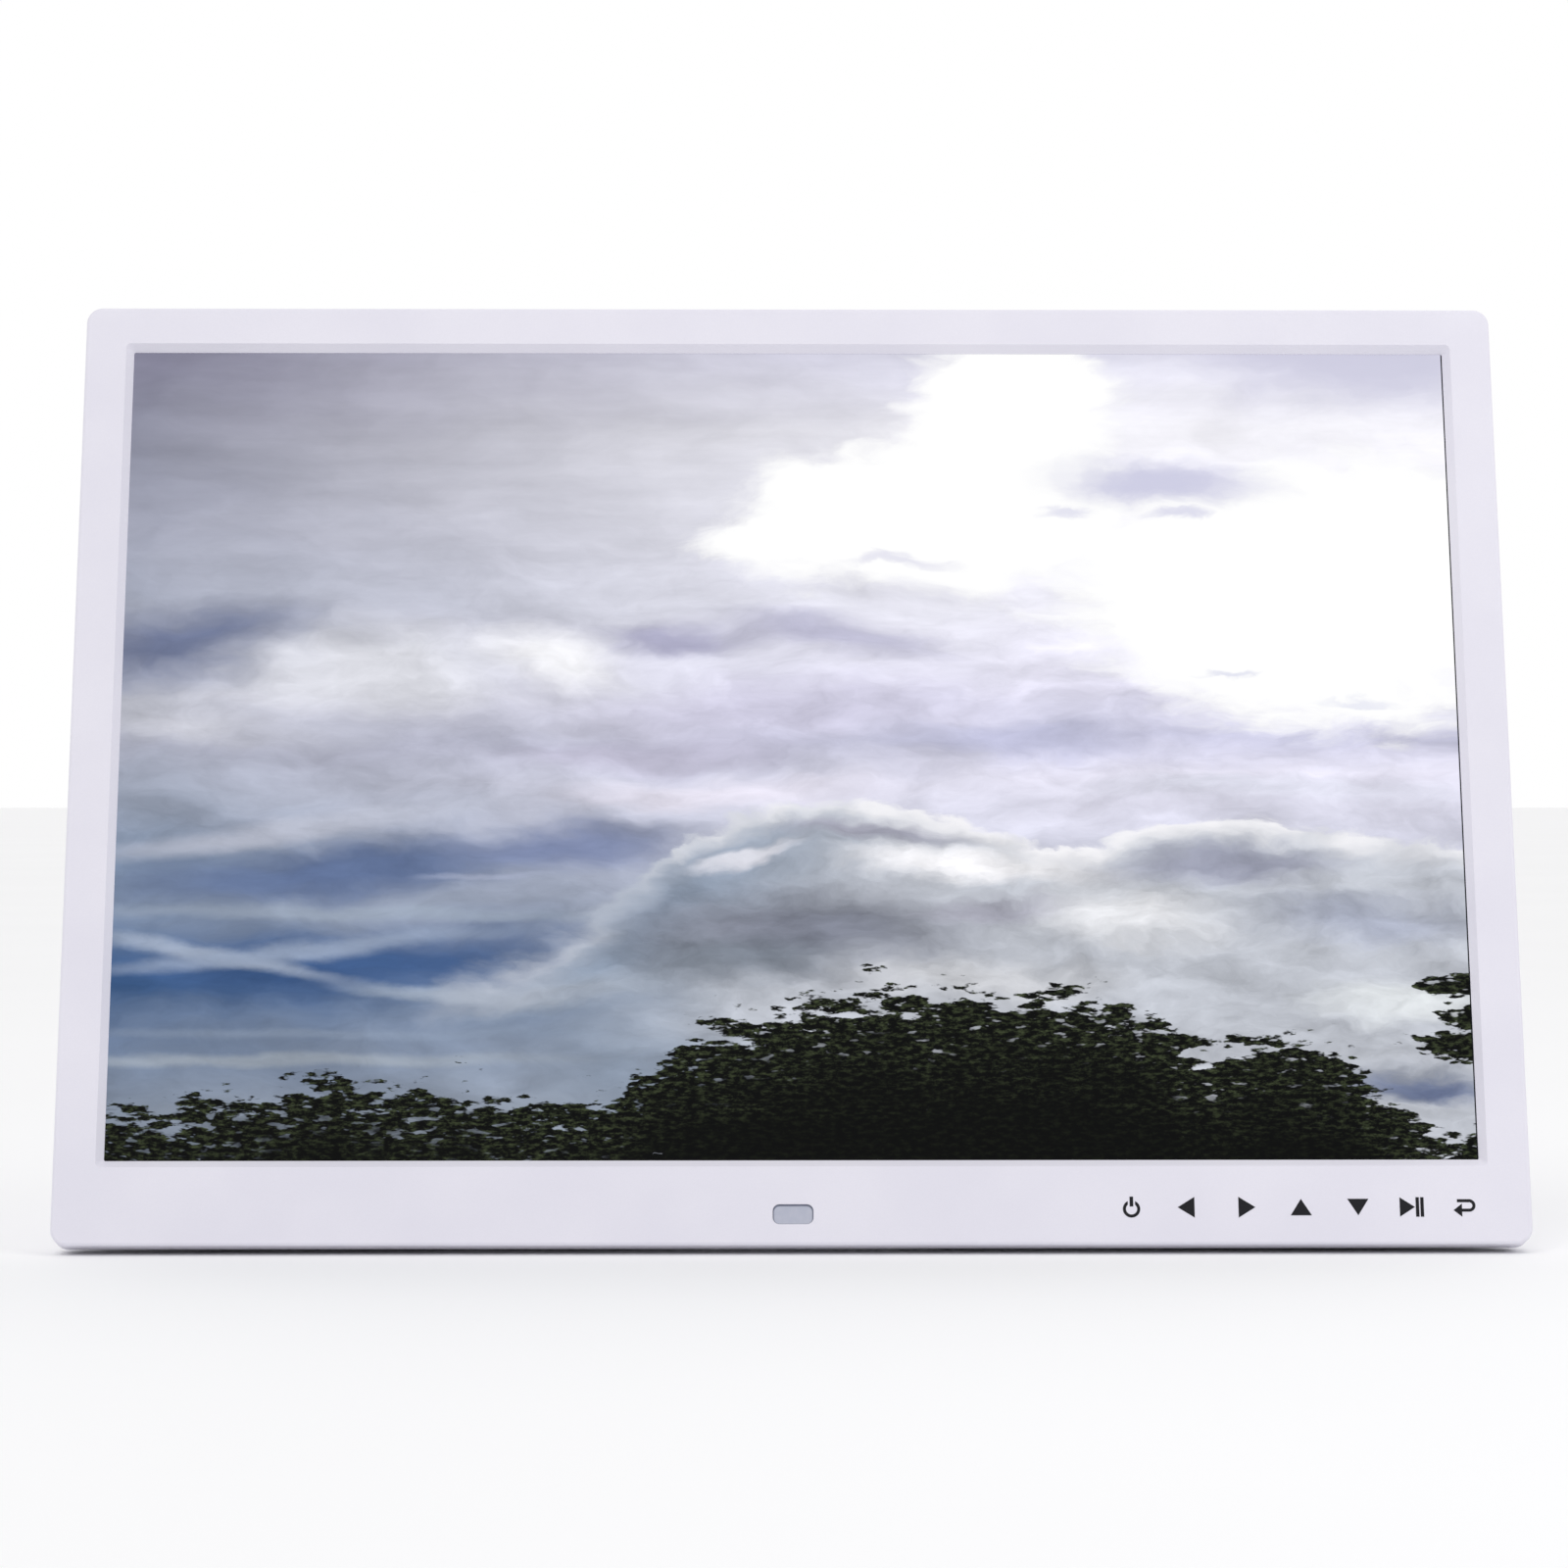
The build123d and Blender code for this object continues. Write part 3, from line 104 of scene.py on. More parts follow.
class Graph:
    """One material's nodes. Each method adds a node and returns its output."""

    def __init__(self, name):
        self.material = bpy.data.materials.new(name)
        self.material.use_nodes = True
        self.tree = self.material.node_tree
        self.shader = self.tree.nodes["Principled BSDF"]
        self.place = self.add("ShaderNodeTexCoord").outputs["Object"]

    def add(self, kind, inputs=(), **settings):
        node = self.tree.nodes.new(kind)
        for key, value in settings.items():
            setattr(node, key, value)
        for key, value in dict(inputs).items():
            self.feed(node.inputs[key], value)
        return node

    def feed(self, socket, value):
        if isinstance(value, bpy.types.NodeSocket):
            self.tree.links.new(value, socket)
        else:
            socket.default_value = value

    def math(self, operation, first, second=0.0):
        return self.add("ShaderNodeMath", {0: first, 1: second}, operation=operation).outputs[0]

    def mix(self, share, first, second):
        node = self.add("ShaderNodeMix", {0: share, 6: first, 7: second}, data_type="RGBA")
        return node.outputs[2]

    def span(self, value, low, high, to_low=0.0, to_high=1.0, smooth=True):
        """Value, carried from low..high to to_low..to_high, and held at its ends."""
        node = self.add("ShaderNodeMapRange", {0: value, 1: low, 2: high, 3: to_low, 4: to_high},
                        interpolation_type="SMOOTHSTEP" if smooth else "LINEAR")
        return node.outputs[0]

    def vector(self, operation, first, second=(0, 0, 0)):
        node = self.add("ShaderNodeVectorMath", {0: first, 1: second}, operation=operation)
        return node.outputs["Value" if operation in ("LENGTH", "DOT_PRODUCT") else "Vector"]

    def split(self, vector):
        return self.add("ShaderNodeSeparateXYZ", {0: vector}).outputs

    def laid(self, vector, place, turn, size):
        """The point in axes of its own: from place, turned, and in units of size."""
        node = self.add("ShaderNodeMapping", {0: vector, 1: place, 2: turn, 3: size},
                        vector_type="TEXTURE")
        return node.outputs[0]

    def noise(self, vector, scale, detail=3.0, rough=0.5, colour=False):
        node = self.add("ShaderNodeTexNoise",
                        {"Vector": vector, "Scale": scale, "Detail": detail, "Roughness": rough})
        return node.outputs["Color" if colour else "Fac"]

    def cells(self, vector, scale, feature="F1"):
        node = self.add("ShaderNodeTexVoronoi", {"Vector": vector, "Scale": scale}, feature=feature)
        return node.outputs["Distance"]

    def waves(self, vector, scale, direction="X"):
        node = self.add("ShaderNodeTexWave", {"Vector": vector, "Scale": scale},
                        bands_direction=direction)
        return node.outputs["Fac"]

    def bump(self, height, distance, strength=1.0, normal=None):
        node = self.add("ShaderNodeBump",
                        {"Height": height, "Distance": distance, "Strength": strength})
        if normal is not None:
            self.feed(node.inputs["Normal"], normal)
        return node.outputs[0]

    def done(self, **sockets):
        """Sets the shader's sockets, named with _ for a space, and gives the material."""
        for name, value in sockets.items():
            self.feed(self.shader.inputs[name.replace("_", " ")], value)
        return self.material


def face_point(g, middle_point=BEZEL):
    """The point along the face: right, up and out, in millimetres from a middle."""
    return g.laid(g.place, middle_point, FACE_TURN, (MM, MM, MM))


# ---------------------------------------------------------------- plastics
def white_plastic():
    """Satin moulded plastic: a fine spark-eroded grain over a faint unevenness."""
    g = Graph("white_plastic")
    at = face_point(g)
    cloud = g.noise(at, 0.035, 2.0)
    grain = g.noise(at, 3.6, 2.0, 0.6)
    colour = g.mix(g.span(cloud, 0.3, 0.7), srgb(226, 224, 235), srgb(230, 228, 238))
    colour = g.mix(g.span(grain, 0.25, 0.75, 0.0, 0.22), colour, srgb(217, 215, 227))
    rough = g.span(g.noise(at, 1.4, 3.0), 0.3, 0.7, 0.40, 0.50)
    bumps = g.bump(grain, 0.00003, 0.35, g.bump(g.noise(at, 0.16, 2.0), 0.0002, 0.05))
    return g.done(Base_Color=colour, Roughness=rough, Normal=bumps, Specular_IOR_Level=0.4)


def ink():
    """The printed touch marks: flat black, barely speckled."""
    g = Graph("ink")
    at = face_point(g)
    speck = g.noise(at, 5.0, 2.0)
    colour = g.mix(g.span(speck, 0.35, 0.7), srgb(20, 20, 25), srgb(30, 30, 35))
    return g.done(Base_Color=colour, Roughness=g.span(speck, 0.3, 0.7, 0.5, 0.62),
                  Normal=g.bump(speck, 0.00001, 0.3), Specular_IOR_Level=0.2)


def ir_lens():
    """Grey-blue plastic that lets infrared through, darker where it meets the bezel: a painted
    shade from the recess it sits in.
    """
    g = Graph("ir_lens")
    at = face_point(g, WINDOW)
    half_w, half_h, corner = 4.84, 2.37, 1.6      # the pane's outline, in millimetres
    x, y, _ = g.split(g.vector("ABSOLUTE", at))
    past_x = g.math("MAXIMUM", g.math("SUBTRACT", x, half_w - corner), 0.0)
    past_y = g.math("MAXIMUM", g.math("SUBTRACT", y, half_h - corner), 0.0)
    squares = g.math("ADD", g.math("POWER", past_x, 2.0), g.math("POWER", past_y, 2.0))
    # rim: painted shade within 0.42 mm of the pane's outline, where the bezel's recess shades it
    rim = g.span(g.math("POWER", squares, 0.5), corner - 0.42, corner - 0.04)
    body = g.mix(g.span(g.noise(at, 0.5, 2.0), 0.3, 0.7), srgb(201, 205, 223), srgb(208, 211, 227))
    # lays the rim's painted shade over the body colour
    colour = g.mix(rim, body, srgb(124, 130, 152))
    return g.done(Base_Color=colour, Roughness=g.span(g.noise(at, 4.0), 0.3, 0.7, 0.16, 0.26),
                  Transmission_Weight=0.25, IOR=1.5, Normal=g.bump(g.noise(at, 6.0), 0.00001, 0.2))


def moulded(name, dark, light, rough=(0.4, 0.55), grain=2.5):
    """A plain moulded plastic with a fine grain, between a dark and a light colour."""
    g = Graph(name)
    at = face_point(g)
    speck = g.noise(at, grain, 3.0)
    colour = g.mix(g.span(speck, 0.3, 0.7), srgb(*dark), srgb(*light))
    return g.done(Base_Color=colour, Roughness=g.span(g.noise(at, grain / 3), 0.3, 0.7, *rough),
                  Normal=g.bump(speck, 0.00003, 0.5))


def rubber():
    """Black rubber, a little dusty."""
    g = Graph("rubber")
    at = face_point(g)
    grain = g.noise(at, 4.5, 3.0, 0.65)
    dust = g.span(g.noise(at, 0.6, 4.0), 0.5, 0.8, 0.0, 0.5)
    colour = g.mix(dust, srgb(44, 44, 47), srgb(74, 73, 74))
    return g.done(Base_Color=colour, Roughness=g.span(grain, 0.3, 0.7, 0.72, 0.9),
                  Normal=g.bump(grain, 0.00006, 0.6), Specular_IOR_Level=0.3)


def foam():
    """Black foam with open pores."""
    g = Graph("foam")
    at = face_point(g)
    pores = g.cells(at, 2.4)
    colour = g.mix(g.span(pores, 0.1, 0.6), srgb(26, 26, 28), srgb(52, 52, 55))
    return g.done(Base_Color=colour, Roughness=0.95, Normal=g.bump(pores, 0.00015, 0.8))


# ---------------------------------------------------------------- metals
def metal(name, colour, rough, streak=(1, 1, 1), spangle=0.0):
    """Plated or rolled metal: streaks along its grain, and blotches where it has spangle."""
    g = Graph(name)
    at = face_point(g)
    lines = g.noise(g.vector("MULTIPLY", at, streak), 3.0, 4.0, 0.6)
    blotch = g.cells(at, 0.22, "SMOOTH_F1")
    dull = tuple(value * 0.78 for value in colour)
    shade = g.mix(g.span(lines, 0.3, 0.7, 0.0, 0.6), srgb(*colour), srgb(*dull))
    if spangle:
        shade = g.mix(g.span(blotch, 0.2, 0.8, 0.0, spangle), shade, srgb(*dull))
    return g.done(Base_Color=shade, Metallic=1.0, Normal=g.bump(lines, 0.00001, 0.3),
                  Roughness=g.span(lines, 0.25, 0.75, rough, rough + 0.14))


# ---------------------------------------------------------------- boards, films and cables
def circuit_board():
    """Green solder mask over copper tracks, with tinned pads."""
    g = Graph("circuit_board")
    at = face_point(g)
    area = g.noise(at, 0.09, 1.0)
    sway = g.vector("MULTIPLY", g.noise(at, 0.05, 0.0, colour=True), (6, 6, 0))
    rows = g.waves(g.vector("ADD", at, sway), 0.45, "Y")
    columns = g.waves(at, 0.38, "X")
    tracks = g.mix(g.span(area, 0.46, 0.54), rows, columns)
    track = g.span(tracks, 0.62, 0.72)
    pads = g.span(g.cells(at, 0.30), 0.10, 0.14, 1.0, 0.0)
    colour = g.mix(track, srgb(18, 74, 44), srgb(34, 104, 62))
    colour = g.mix(pads, colour, srgb(196, 198, 200))
    return g.done(Base_Color=colour, Metallic=pads, Roughness=g.span(track, 0, 1, 0.34, 0.28),
                  Normal=g.bump(g.math("MAXIMUM", track, pads), 0.00004, 0.5))


def flex_film():
    """Amber film with its copper lines showing through."""
    g = Graph("flex_film")
    at = face_point(g)
    lines = g.span(g.waves(at, 1.6, "X"), 0.45, 0.65)
    colour = g.mix(lines, srgb(196, 128, 40), srgb(148, 78, 24))
    return g.done(Base_Color=colour, Roughness=0.3, Normal=g.bump(lines, 0.00002, 0.4),
                  Coat_Weight=0.3)


def ribbon():
    """White flat cable: its wires show as ridges along it."""
    g = Graph("ribbon")
    at = face_point(g)
    wires = g.waves(at, 0.8, "X")
    colour = g.mix(g.span(wires, 0.2, 0.8), srgb(178, 180, 186), srgb(224, 226, 230))
    return g.done(Base_Color=colour, Roughness=g.span(g.noise(at, 2.0), 0.3, 0.7, 0.38, 0.5),
                  Normal=g.bump(wires, 0.00015, 0.7))


def sheet(name, dark, light, clear=0.0, rough=0.4):
    """An optical film or a pane, with a faint unevenness."""
    g = Graph(name)
    at = face_point(g)
    cloud = g.noise(at, 0.08, 3.0)
    colour = g.mix(g.span(cloud, 0.3, 0.7), srgb(*dark), srgb(*light))
    return g.done(Base_Color=colour, Transmission_Weight=clear, IOR=1.5,
                  Roughness=g.span(g.noise(at, 1.0), 0.3, 0.7, rough, rough + 0.08),
                  Normal=g.bump(cloud, 0.00005, 0.1))


def light_guide():
    """Clear acrylic with rows of white dots printed on it."""
    g = Graph("light_guide")
    at = face_point(g)
    dots = g.cells(g.vector("MULTIPLY", at, (1, 1, 0)), 0.8)
    colour = g.mix(g.span(dots, 0.2, 0.3), srgb(250, 250, 250), srgb(228, 238, 240))
    return g.done(Base_Color=colour, Transmission_Weight=g.span(dots, 0.2, 0.3, 0.1, 0.85),
                  IOR=1.49, Roughness=g.span(dots, 0.2, 0.3, 0.6, 0.06),
                  Normal=g.bump(dots, 0.00002, 0.2))


def paper_cone():
    """Pressed dark paper with short fibres."""
    g = Graph("paper_cone")
    at = face_point(g)
    fibres = g.noise(g.vector("MULTIPLY", at, (1, 3, 1)), 1.6, 5.0, 0.7)
    colour = g.mix(g.span(fibres, 0.3, 0.7), srgb(34, 34, 36), srgb(60, 59, 60))
    return g.done(Base_Color=colour, Roughness=0.9, Normal=g.bump(fibres, 0.0001, 0.7))


# ---------------------------------------------------------------- the picture on the screen
# A summer sky over a row of trees. Places and sizes on it are in units of its height: right
# from its left edge, up from its foot. Numbers given to noise are how fine it is per unit.
PICTURE_W = LIT_W / LIT_H
PICTURE_SHIFT = Vector((-0.0002, 0, 0)) + UP_FACE * 0.0002   # the panel sits a little off centre
CLOUD_STRETCH = (1.0, 2.4, 0.0)                  # clouds are longer than they're tall

# The sky's colours up its left side, and up the middle
LEFT_SKY = ((0.06, (132, 142, 158)), (0.15, (106, 123, 151)), (0.20, (62, 92, 134)),
            (0.26, (84, 108, 146)), (0.31, (132, 146, 168)), (0.36, (120, 136, 160)),
            (0.44, (158, 166, 184)), (0.50, (168, 171, 187)), (0.57, (192, 194, 205)),
            (0.68, (164, 169, 186)), (0.76, (164, 167, 184)), (0.87, (142, 144, 161)),
            (1.00, (132, 131, 151)))
RIGHT_SKY = ((0.06, (168, 176, 188)), (0.20, (150, 162, 182)), (0.40, (214, 214, 230)),
             (0.46, (230, 228, 244)), (0.51, (202, 202, 225)), (0.57, (230, 228, 246)),
             (0.68, (240, 239, 250)), (0.90, (247, 246, 253)), (1.00, (226, 225, 240)))

# Soft patches painted one over another: right, up, half width, half height, turn in
# degrees, colour, and how much of it is laid on
SKY_PATCHES = (                                  # banks of cloud and gaps between them
    (0.27, 0.232, 0.44, 0.060, 3, (50, 82, 130), 0.85),         # deep blue, low on the left
    (0.26, 0.350, 0.38, 0.050, 6, (92, 110, 148), 0.95),        # haze over it
    (0.54, 0.385, 0.20, 0.045, 4, (116, 128, 164), 0.85),
    (0.08, 0.624, 0.25, 0.062, 4, (108, 117, 146), 1.00),       # gap between clouds
    (0.10, 0.530, 0.20, 0.036, -3, (206, 207, 217), 0.70),
    (0.30, 0.600, 0.24, 0.070, 0, (226, 227, 235), 0.95),       # white bank, middle left
    (0.53, 0.618, 0.14, 0.046, -8, (248, 248, 252), 0.95),
    (0.22, 0.520, 0.16, 0.030, 4, (178, 180, 194), 0.60),
    (0.68, 0.638, 0.12, 0.028, -6, (164, 163, 191), 0.85),
    (0.84, 0.640, 0.17, 0.036, -8, (182, 181, 207), 0.75),
    (0.80, 0.550, 0.34, 0.050, 0, (206, 203, 225), 0.75),
    (0.64, 0.500, 0.24, 0.036, 2, (194, 191, 212), 0.75),
    (1.06, 0.508, 0.19, 0.030, -3, (190, 191, 217), 0.95),
    (0.72, 0.452, 0.24, 0.028, 2, (230, 226, 240), 0.85),
    (1.36, 0.440, 0.34, 0.024, -2, (226, 227, 242), 0.80),
)
TRAIL_PATCHES = (                                # vapour trails and streaks, nearly straight
    (0.20, 0.398, 0.34, 0.022, 9, (186, 190, 205), 0.80),
    (0.12, 0.247, 0.24, 0.014, -10, (164, 176, 196), 0.85),
    (0.42, 0.196, 0.20, 0.013, -6, (168, 180, 197), 0.85),
    (0.22, 0.252, 0.36, 0.017, 6, (150, 164, 188), 0.85),
    (0.30, 0.297, 0.50, 0.014, 0, (156, 168, 186), 0.75),
    (0.30, 0.152, 0.50, 0.009, 0, (136, 150, 172), 0.70),
    (0.20, 0.120, 0.50, 0.012, 0, (158, 167, 178), 0.75),
    (0.44, 0.345, 0.10, 0.006, 3, (168, 176, 200), 0.70),
)
GLOW_PATCHES = (                                 # where the sun burns the clouds out
    (1.40, 0.68, 0.46, 0.215, -9), (0.98, 0.80, 0.38, 0.135, 6), (1.08, 0.93, 0.19, 0.16, 0),
    (1.55, 0.72, 0.40, 0.215, -4),
)
VEIL_PATCHES = (                                 # thin cloud that shows in front of it
    (1.26, 0.838, 0.19, 0.042, -4, (204, 204, 227), 0.95),
    (1.27, 0.792, 0.05, 0.012, 0, (214, 214, 234), 0.80),
    (1.13, 0.808, 0.05, 0.012, 0, (222, 222, 238), 0.80),
    (1.48, 0.985, 0.36, 0.075, -3, (200, 199, 220), 0.80),
    (0.93, 0.735, 0.08, 0.010, 4, (214, 213, 232), 0.60),
    (1.32, 0.600, 0.05, 0.006, 0, (216, 218, 236), 0.70),
    (1.48, 0.560, 0.07, 0.008, -2, (222, 224, 240), 0.60),
)
# The upper outlines of the large cloud and of the trees: right, up
CUMULUS_TOP = ((0.0, 0.0), (0.28, 0.020), (0.385, 0.205), (0.51, 0.262), (0.61, 0.345),
               (0.66, 0.396), (0.85, 0.432), (0.98, 0.412), (1.10, 0.378), (1.24, 0.398),
               (1.38, 0.402), (1.50, 0.386), (1.60, 0.372))
CUMULUS_PATCHES = (                              # its shaded folds and lit billows
    (0.50, 0.085, 0.40, 0.110, 4, (124, 139, 160), 0.90),
    (0.49, 0.235, 0.11, 0.020, 24, (186, 192, 204), 0.80),
    (0.52, 0.200, 0.16, 0.030, 6, (166, 174, 187), 0.80),
    (0.80, 0.275, 0.30, 0.085, 2, (124, 128, 142), 1.00),
    (0.74, 0.235, 0.18, 0.045, 0, (118, 126, 138), 0.80),
    (0.90, 0.392, 0.16, 0.020, -6, (158, 158, 174), 0.95),
    (1.03, 0.352, 0.22, 0.026, -4, (246, 245, 248), 1.00),
    (0.74, 0.368, 0.10, 0.018, 10, (226, 225, 233), 0.80),
    (1.31, 0.352, 0.20, 0.034, 2, (150, 153, 172), 0.95),
    (1.20, 0.290, 0.16, 0.050, -6, (224, 225, 229), 0.95),
    (1.04, 0.300, 0.14, 0.024, 4, (160, 160, 174), 0.80),
    (1.48, 0.290, 0.20, 0.045, -4, (168, 174, 193), 0.85),
    (1.02, 0.220, 0.22, 0.040, 0, (202, 203, 207), 0.75),
    (1.52, 0.195, 0.16, 0.040, 0, (220, 224, 227), 0.90),
    (1.52, 0.095, 0.20, 0.034, 0, (140, 146, 160), 0.80),
    (1.55, 0.088, 0.13, 0.026, -4, (92, 104, 136), 0.90),
)
TREE_TOP = ((0.0, 0.058), (0.12, 0.072), (0.25, 0.100), (0.33, 0.088), (0.42, 0.084),
            (0.52, 0.066), (0.58, 0.082), (0.675, 0.146), (0.76, 0.168), (0.85, 0.196),
            (0.98, 0.200), (1.14, 0.194), (1.235, 0.172), (1.275, 0.134), (1.36, 0.146),
            (1.44, 0.136), (1.475, 0.098), (1.53, 0.052), (1.56, 0.026), (1.60, 0.040))
TUFTS = (                                        # sprays of leaves: right, up, half sizes
    (1.62, 0.206, 0.185, 0.034), (1.62, 0.172, 0.150, 0.034), (1.62, 0.136, 0.195, 0.044),
)


def picture_point(g):
    """The point on the picture, in units of its height."""
    centre = SCREEN + PICTURE_SHIFT
    at = g.laid(g.place, centre, FACE_TURN, (LIT_H, LIT_H, LIT_H))
    return g.vector("ADD", at, (PICTURE_W / 2, 0.5, 0))


def pushed(g, at, scale, reach, detail=4.0):
    """The point moved about by noise, by up to about a fifth of reach each way."""
    push = g.noise(g.vector("MULTIPLY", at, CLOUD_STRETCH), scale, detail, 0.6, colour=True)
    away = g.vector("MULTIPLY", g.vector("SUBTRACT", push, (0.5, 0.5, 0.5)), reach)
    return g.vector("ADD", at, away)


def inside(g, at, right, up, half_w, half_h, turn=0.0):
    """1 in the middle of an oval, falling smoothly to 0 at its edge."""
    own = g.laid(at, (right, up, 0), (0, 0, math.radians(turn)), (half_w, half_h, 1))
    return g.span(g.vector("LENGTH", own), 1.0, 0.15)


def painted(g, at, colour, patches):
    """The colour with soft patches laid over it, the last on top."""
    for right, up, half_w, half_h, turn, tint, share in patches:
        cover = g.math("MULTIPLY", inside(g, at, right, up, half_w, half_h, turn), share)
        colour = g.mix(cover, colour, srgb(*tint))
    return colour


def ramp(g, value, stops):
    """The colour at value, blended between stops."""
    node = g.add("ShaderNodeValToRGB", {0: value})
    elements = node.color_ramp.elements
    while len(elements) < len(stops):
        elements.new(0.5)
    for element, (position, colour) in zip(elements, stops):
        element.position, element.color = position, srgb(*colour)
    return node.outputs[0]


def outline(g, right, points):
    """The height of a line drawn through points, at each distance along the picture."""
    node = g.add("ShaderNodeFloatCurve", {1: g.math("DIVIDE", right, PICTURE_W)})
    curve = node.mapping.curves[0].points
    while len(curve) < len(points):
        curve.new(0.5, 0.5)
    for knot, (along, height) in zip(curve, points):
        knot.location = (along / PICTURE_W, height)
        knot.handle_type = "AUTO"
    node.mapping.update()
    return node.outputs[0]


def relief(g, at, scale):
    """Billows of cloud lit from the upper right: about -0.5 in shade to 0.5 in light."""
    stretched = g.vector("MULTIPLY", at, CLOUD_STRETCH)
    towards_sun = g.vector("ADD", stretched, (0.25 / scale, 0.30 / scale, 0))
    here = g.noise(stretched, scale, 7.0, 0.6)
    there = g.noise(towards_sun, scale, 7.0, 0.6)
    return g.math("MULTIPLY", g.math("SUBTRACT", here, there), 2.2)


def shaded(g, colour, light, depth):
    """The colour made lighter or darker by light, which is about -0.5 to 0.5."""
    gain = g.math("ADD", 1.0, g.math("MULTIPLY", light, depth))
    gains = g.add("ShaderNodeCombineXYZ", {0: gain, 1: gain, 2: gain}).outputs[0]
    return g.vector("MULTIPLY", colour, gains)


def sky(g, at):
    """Two upright gradients, from left to right, with banks, trails and the sun's glow."""
    loose = pushed(g, pushed(g, at, 2.2, (0.22, 0.10, 0)), 9.0, (0.07, 0.035, 0))
    right, up, _ = g.split(loose)
    colour = g.mix(g.span(right, 0.02, 1.08, smooth=False), ramp(g, up, LEFT_SKY),
                   ramp(g, up, RIGHT_SKY))
    colour = painted(g, loose, colour, SKY_PATCHES)
    colour = painted(g, pushed(g, at, 5.0, (0.06, 0.035, 0), 6.0), colour, TRAIL_PATCHES)
    calm = g.span(up, 0.55, 0.85, 0.40, 0.16)
    colour = shaded(g, colour, relief(g, loose, 5.5), calm)
    streaks = g.noise(g.vector("MULTIPLY", at, (1.0, 9.0, 0)), 3.0, 6.0, 0.6)
    colour = shaded(g, colour, g.math("SUBTRACT", streaks, 0.5), 0.30)

    glow = 0.0
    for oval in GLOW_PATCHES:
        glow = g.math("MAXIMUM", glow, inside(g, loose, *oval))
    tatters = g.span(glow, 0.0, 0.12, 0.0, 0.35)  # torn at its edge, and none beyond it
    ragged = g.math("ADD", glow, g.math("MULTIPLY", relief(g, loose, 7.0), tatters))
    colour = g.mix(g.span(ragged, 0.10, 0.52), colour, srgb(255, 255, 255))
    return painted(g, pushed(g, loose, 16.0, (0.07, 0.03, 0)), colour, VEIL_PATCHES)


def cumulus(g, at, behind):
    """The large cloud: crisp and bright along its top, hazy at its left and at its foot."""
    loose = pushed(g, pushed(g, at, 4.0, (0.10, 0.07, 0)), 14.0, (0.05, 0.035, 0), 6.0)
    right, up, _ = g.split(loose)
    depth = g.math("SUBTRACT", outline(g, right, CUMULUS_TOP), up)   # below the outline
    haze = g.span(g.math("SUBTRACT", right, up), 0.28, 0.62)
    body = painted(g, loose, g.mix(haze, srgb(132, 147, 168), srgb(190, 194, 203)),
                   CUMULUS_PATCHES)
    body = shaded(g, body, relief(g, loose, 8.0), 0.50)

    patchy = g.span(g.noise(loose, 9.0, 3.0), 0.36, 0.60, 0.45, 1.0)
    fringe = g.math("MULTIPLY", g.span(depth, 0.085, 0.0), g.span(right, 0.95, 0.60, 0.15, 0.62))
    body = g.mix(fringe, body, srgb(200, 205, 217))
    rim = g.math("MULTIPLY", g.span(depth, 0.036, 0.002), g.span(right, 0.58, 0.70, 0.0, 0.95))
    body = g.mix(g.math("MULTIPLY", rim, patchy), body, srgb(250, 249, 252))

    edge = g.math("ADD", depth, g.math("MULTIPLY", relief(g, loose, 20.0), 0.012))
    hazy = g.span(right, 0.48, 0.64, 0.050, 0.009)
    cover = g.span(g.math("DIVIDE", edge, hazy), -0.5, 1.0)
    foot = g.math("MAXIMUM", g.span(up, 0.145, 0.215), g.span(right, 0.46, 0.70))
    return g.mix(g.math("MULTIPLY", cover, foot), behind, body)


def trees(g, at, behind):
    """Boughs in layers, leaves at their edges and the sky showing through near the top."""
    right, up, _ = g.split(pushed(g, at, 7.0, (0.05, 0.05, 0), 3.0))
    depth = g.math("SUBTRACT", outline(g, right, TREE_TOP), up)
    for tuft in TUFTS:
        oval = g.math("MULTIPLY", g.math("SUBTRACT", inside(g, at, *tuft), 0.62), 0.10)
        depth = g.math("MAXIMUM", depth, oval)
    boughs = g.noise(g.vector("MULTIPLY", at, (1.0, 3.4, 0)), 13.0, 5.0, 0.62)
    depth = g.math("ADD", depth, g.math("MULTIPLY", g.math("SUBTRACT", boughs, 0.5), 0.155))

    turned = pushed(g, at, 60.0, (0.024, 0.012, 0), 2.0)
    leaf = g.cells(g.vector("MULTIPLY", turned, (44.0, 150.0, 0)), 1.0)
    room = g.span(depth, -0.020, 0.032, -0.10, 1.15, smooth=False)
    cover = g.span(g.math("SUBTRACT", room, leaf), -0.09, 0.13)
    glints = g.noise(g.vector("MULTIPLY", at, (1.0, 2.8, 0)), 46.0, 2.0, 0.5)
    glints = g.math("ADD", glints, g.span(right, 0.58, 0.36, 0.0, 0.05))
    sky_shows = g.math("MULTIPLY", g.span(glints, 0.61, 0.69), g.span(depth, 0.085, 0.01, 0.0, 0.8))
    cover = g.math("MULTIPLY", cover, g.math("SUBTRACT", 1.0, sky_shows))

    gleam = g.noise(g.vector("MULTIPLY", at, (1.0, 2.4, 0)), 80.0, 3.0, 0.7)
    lit = g.math("MULTIPLY", g.span(gleam, 0.44, 0.74), g.span(depth, 0.15, 0.0, 0.10, 1.0))
    leaves = g.mix(lit, srgb(9, 10, 9), srgb(70, 79, 54))
    return g.mix(cover, behind, leaves)


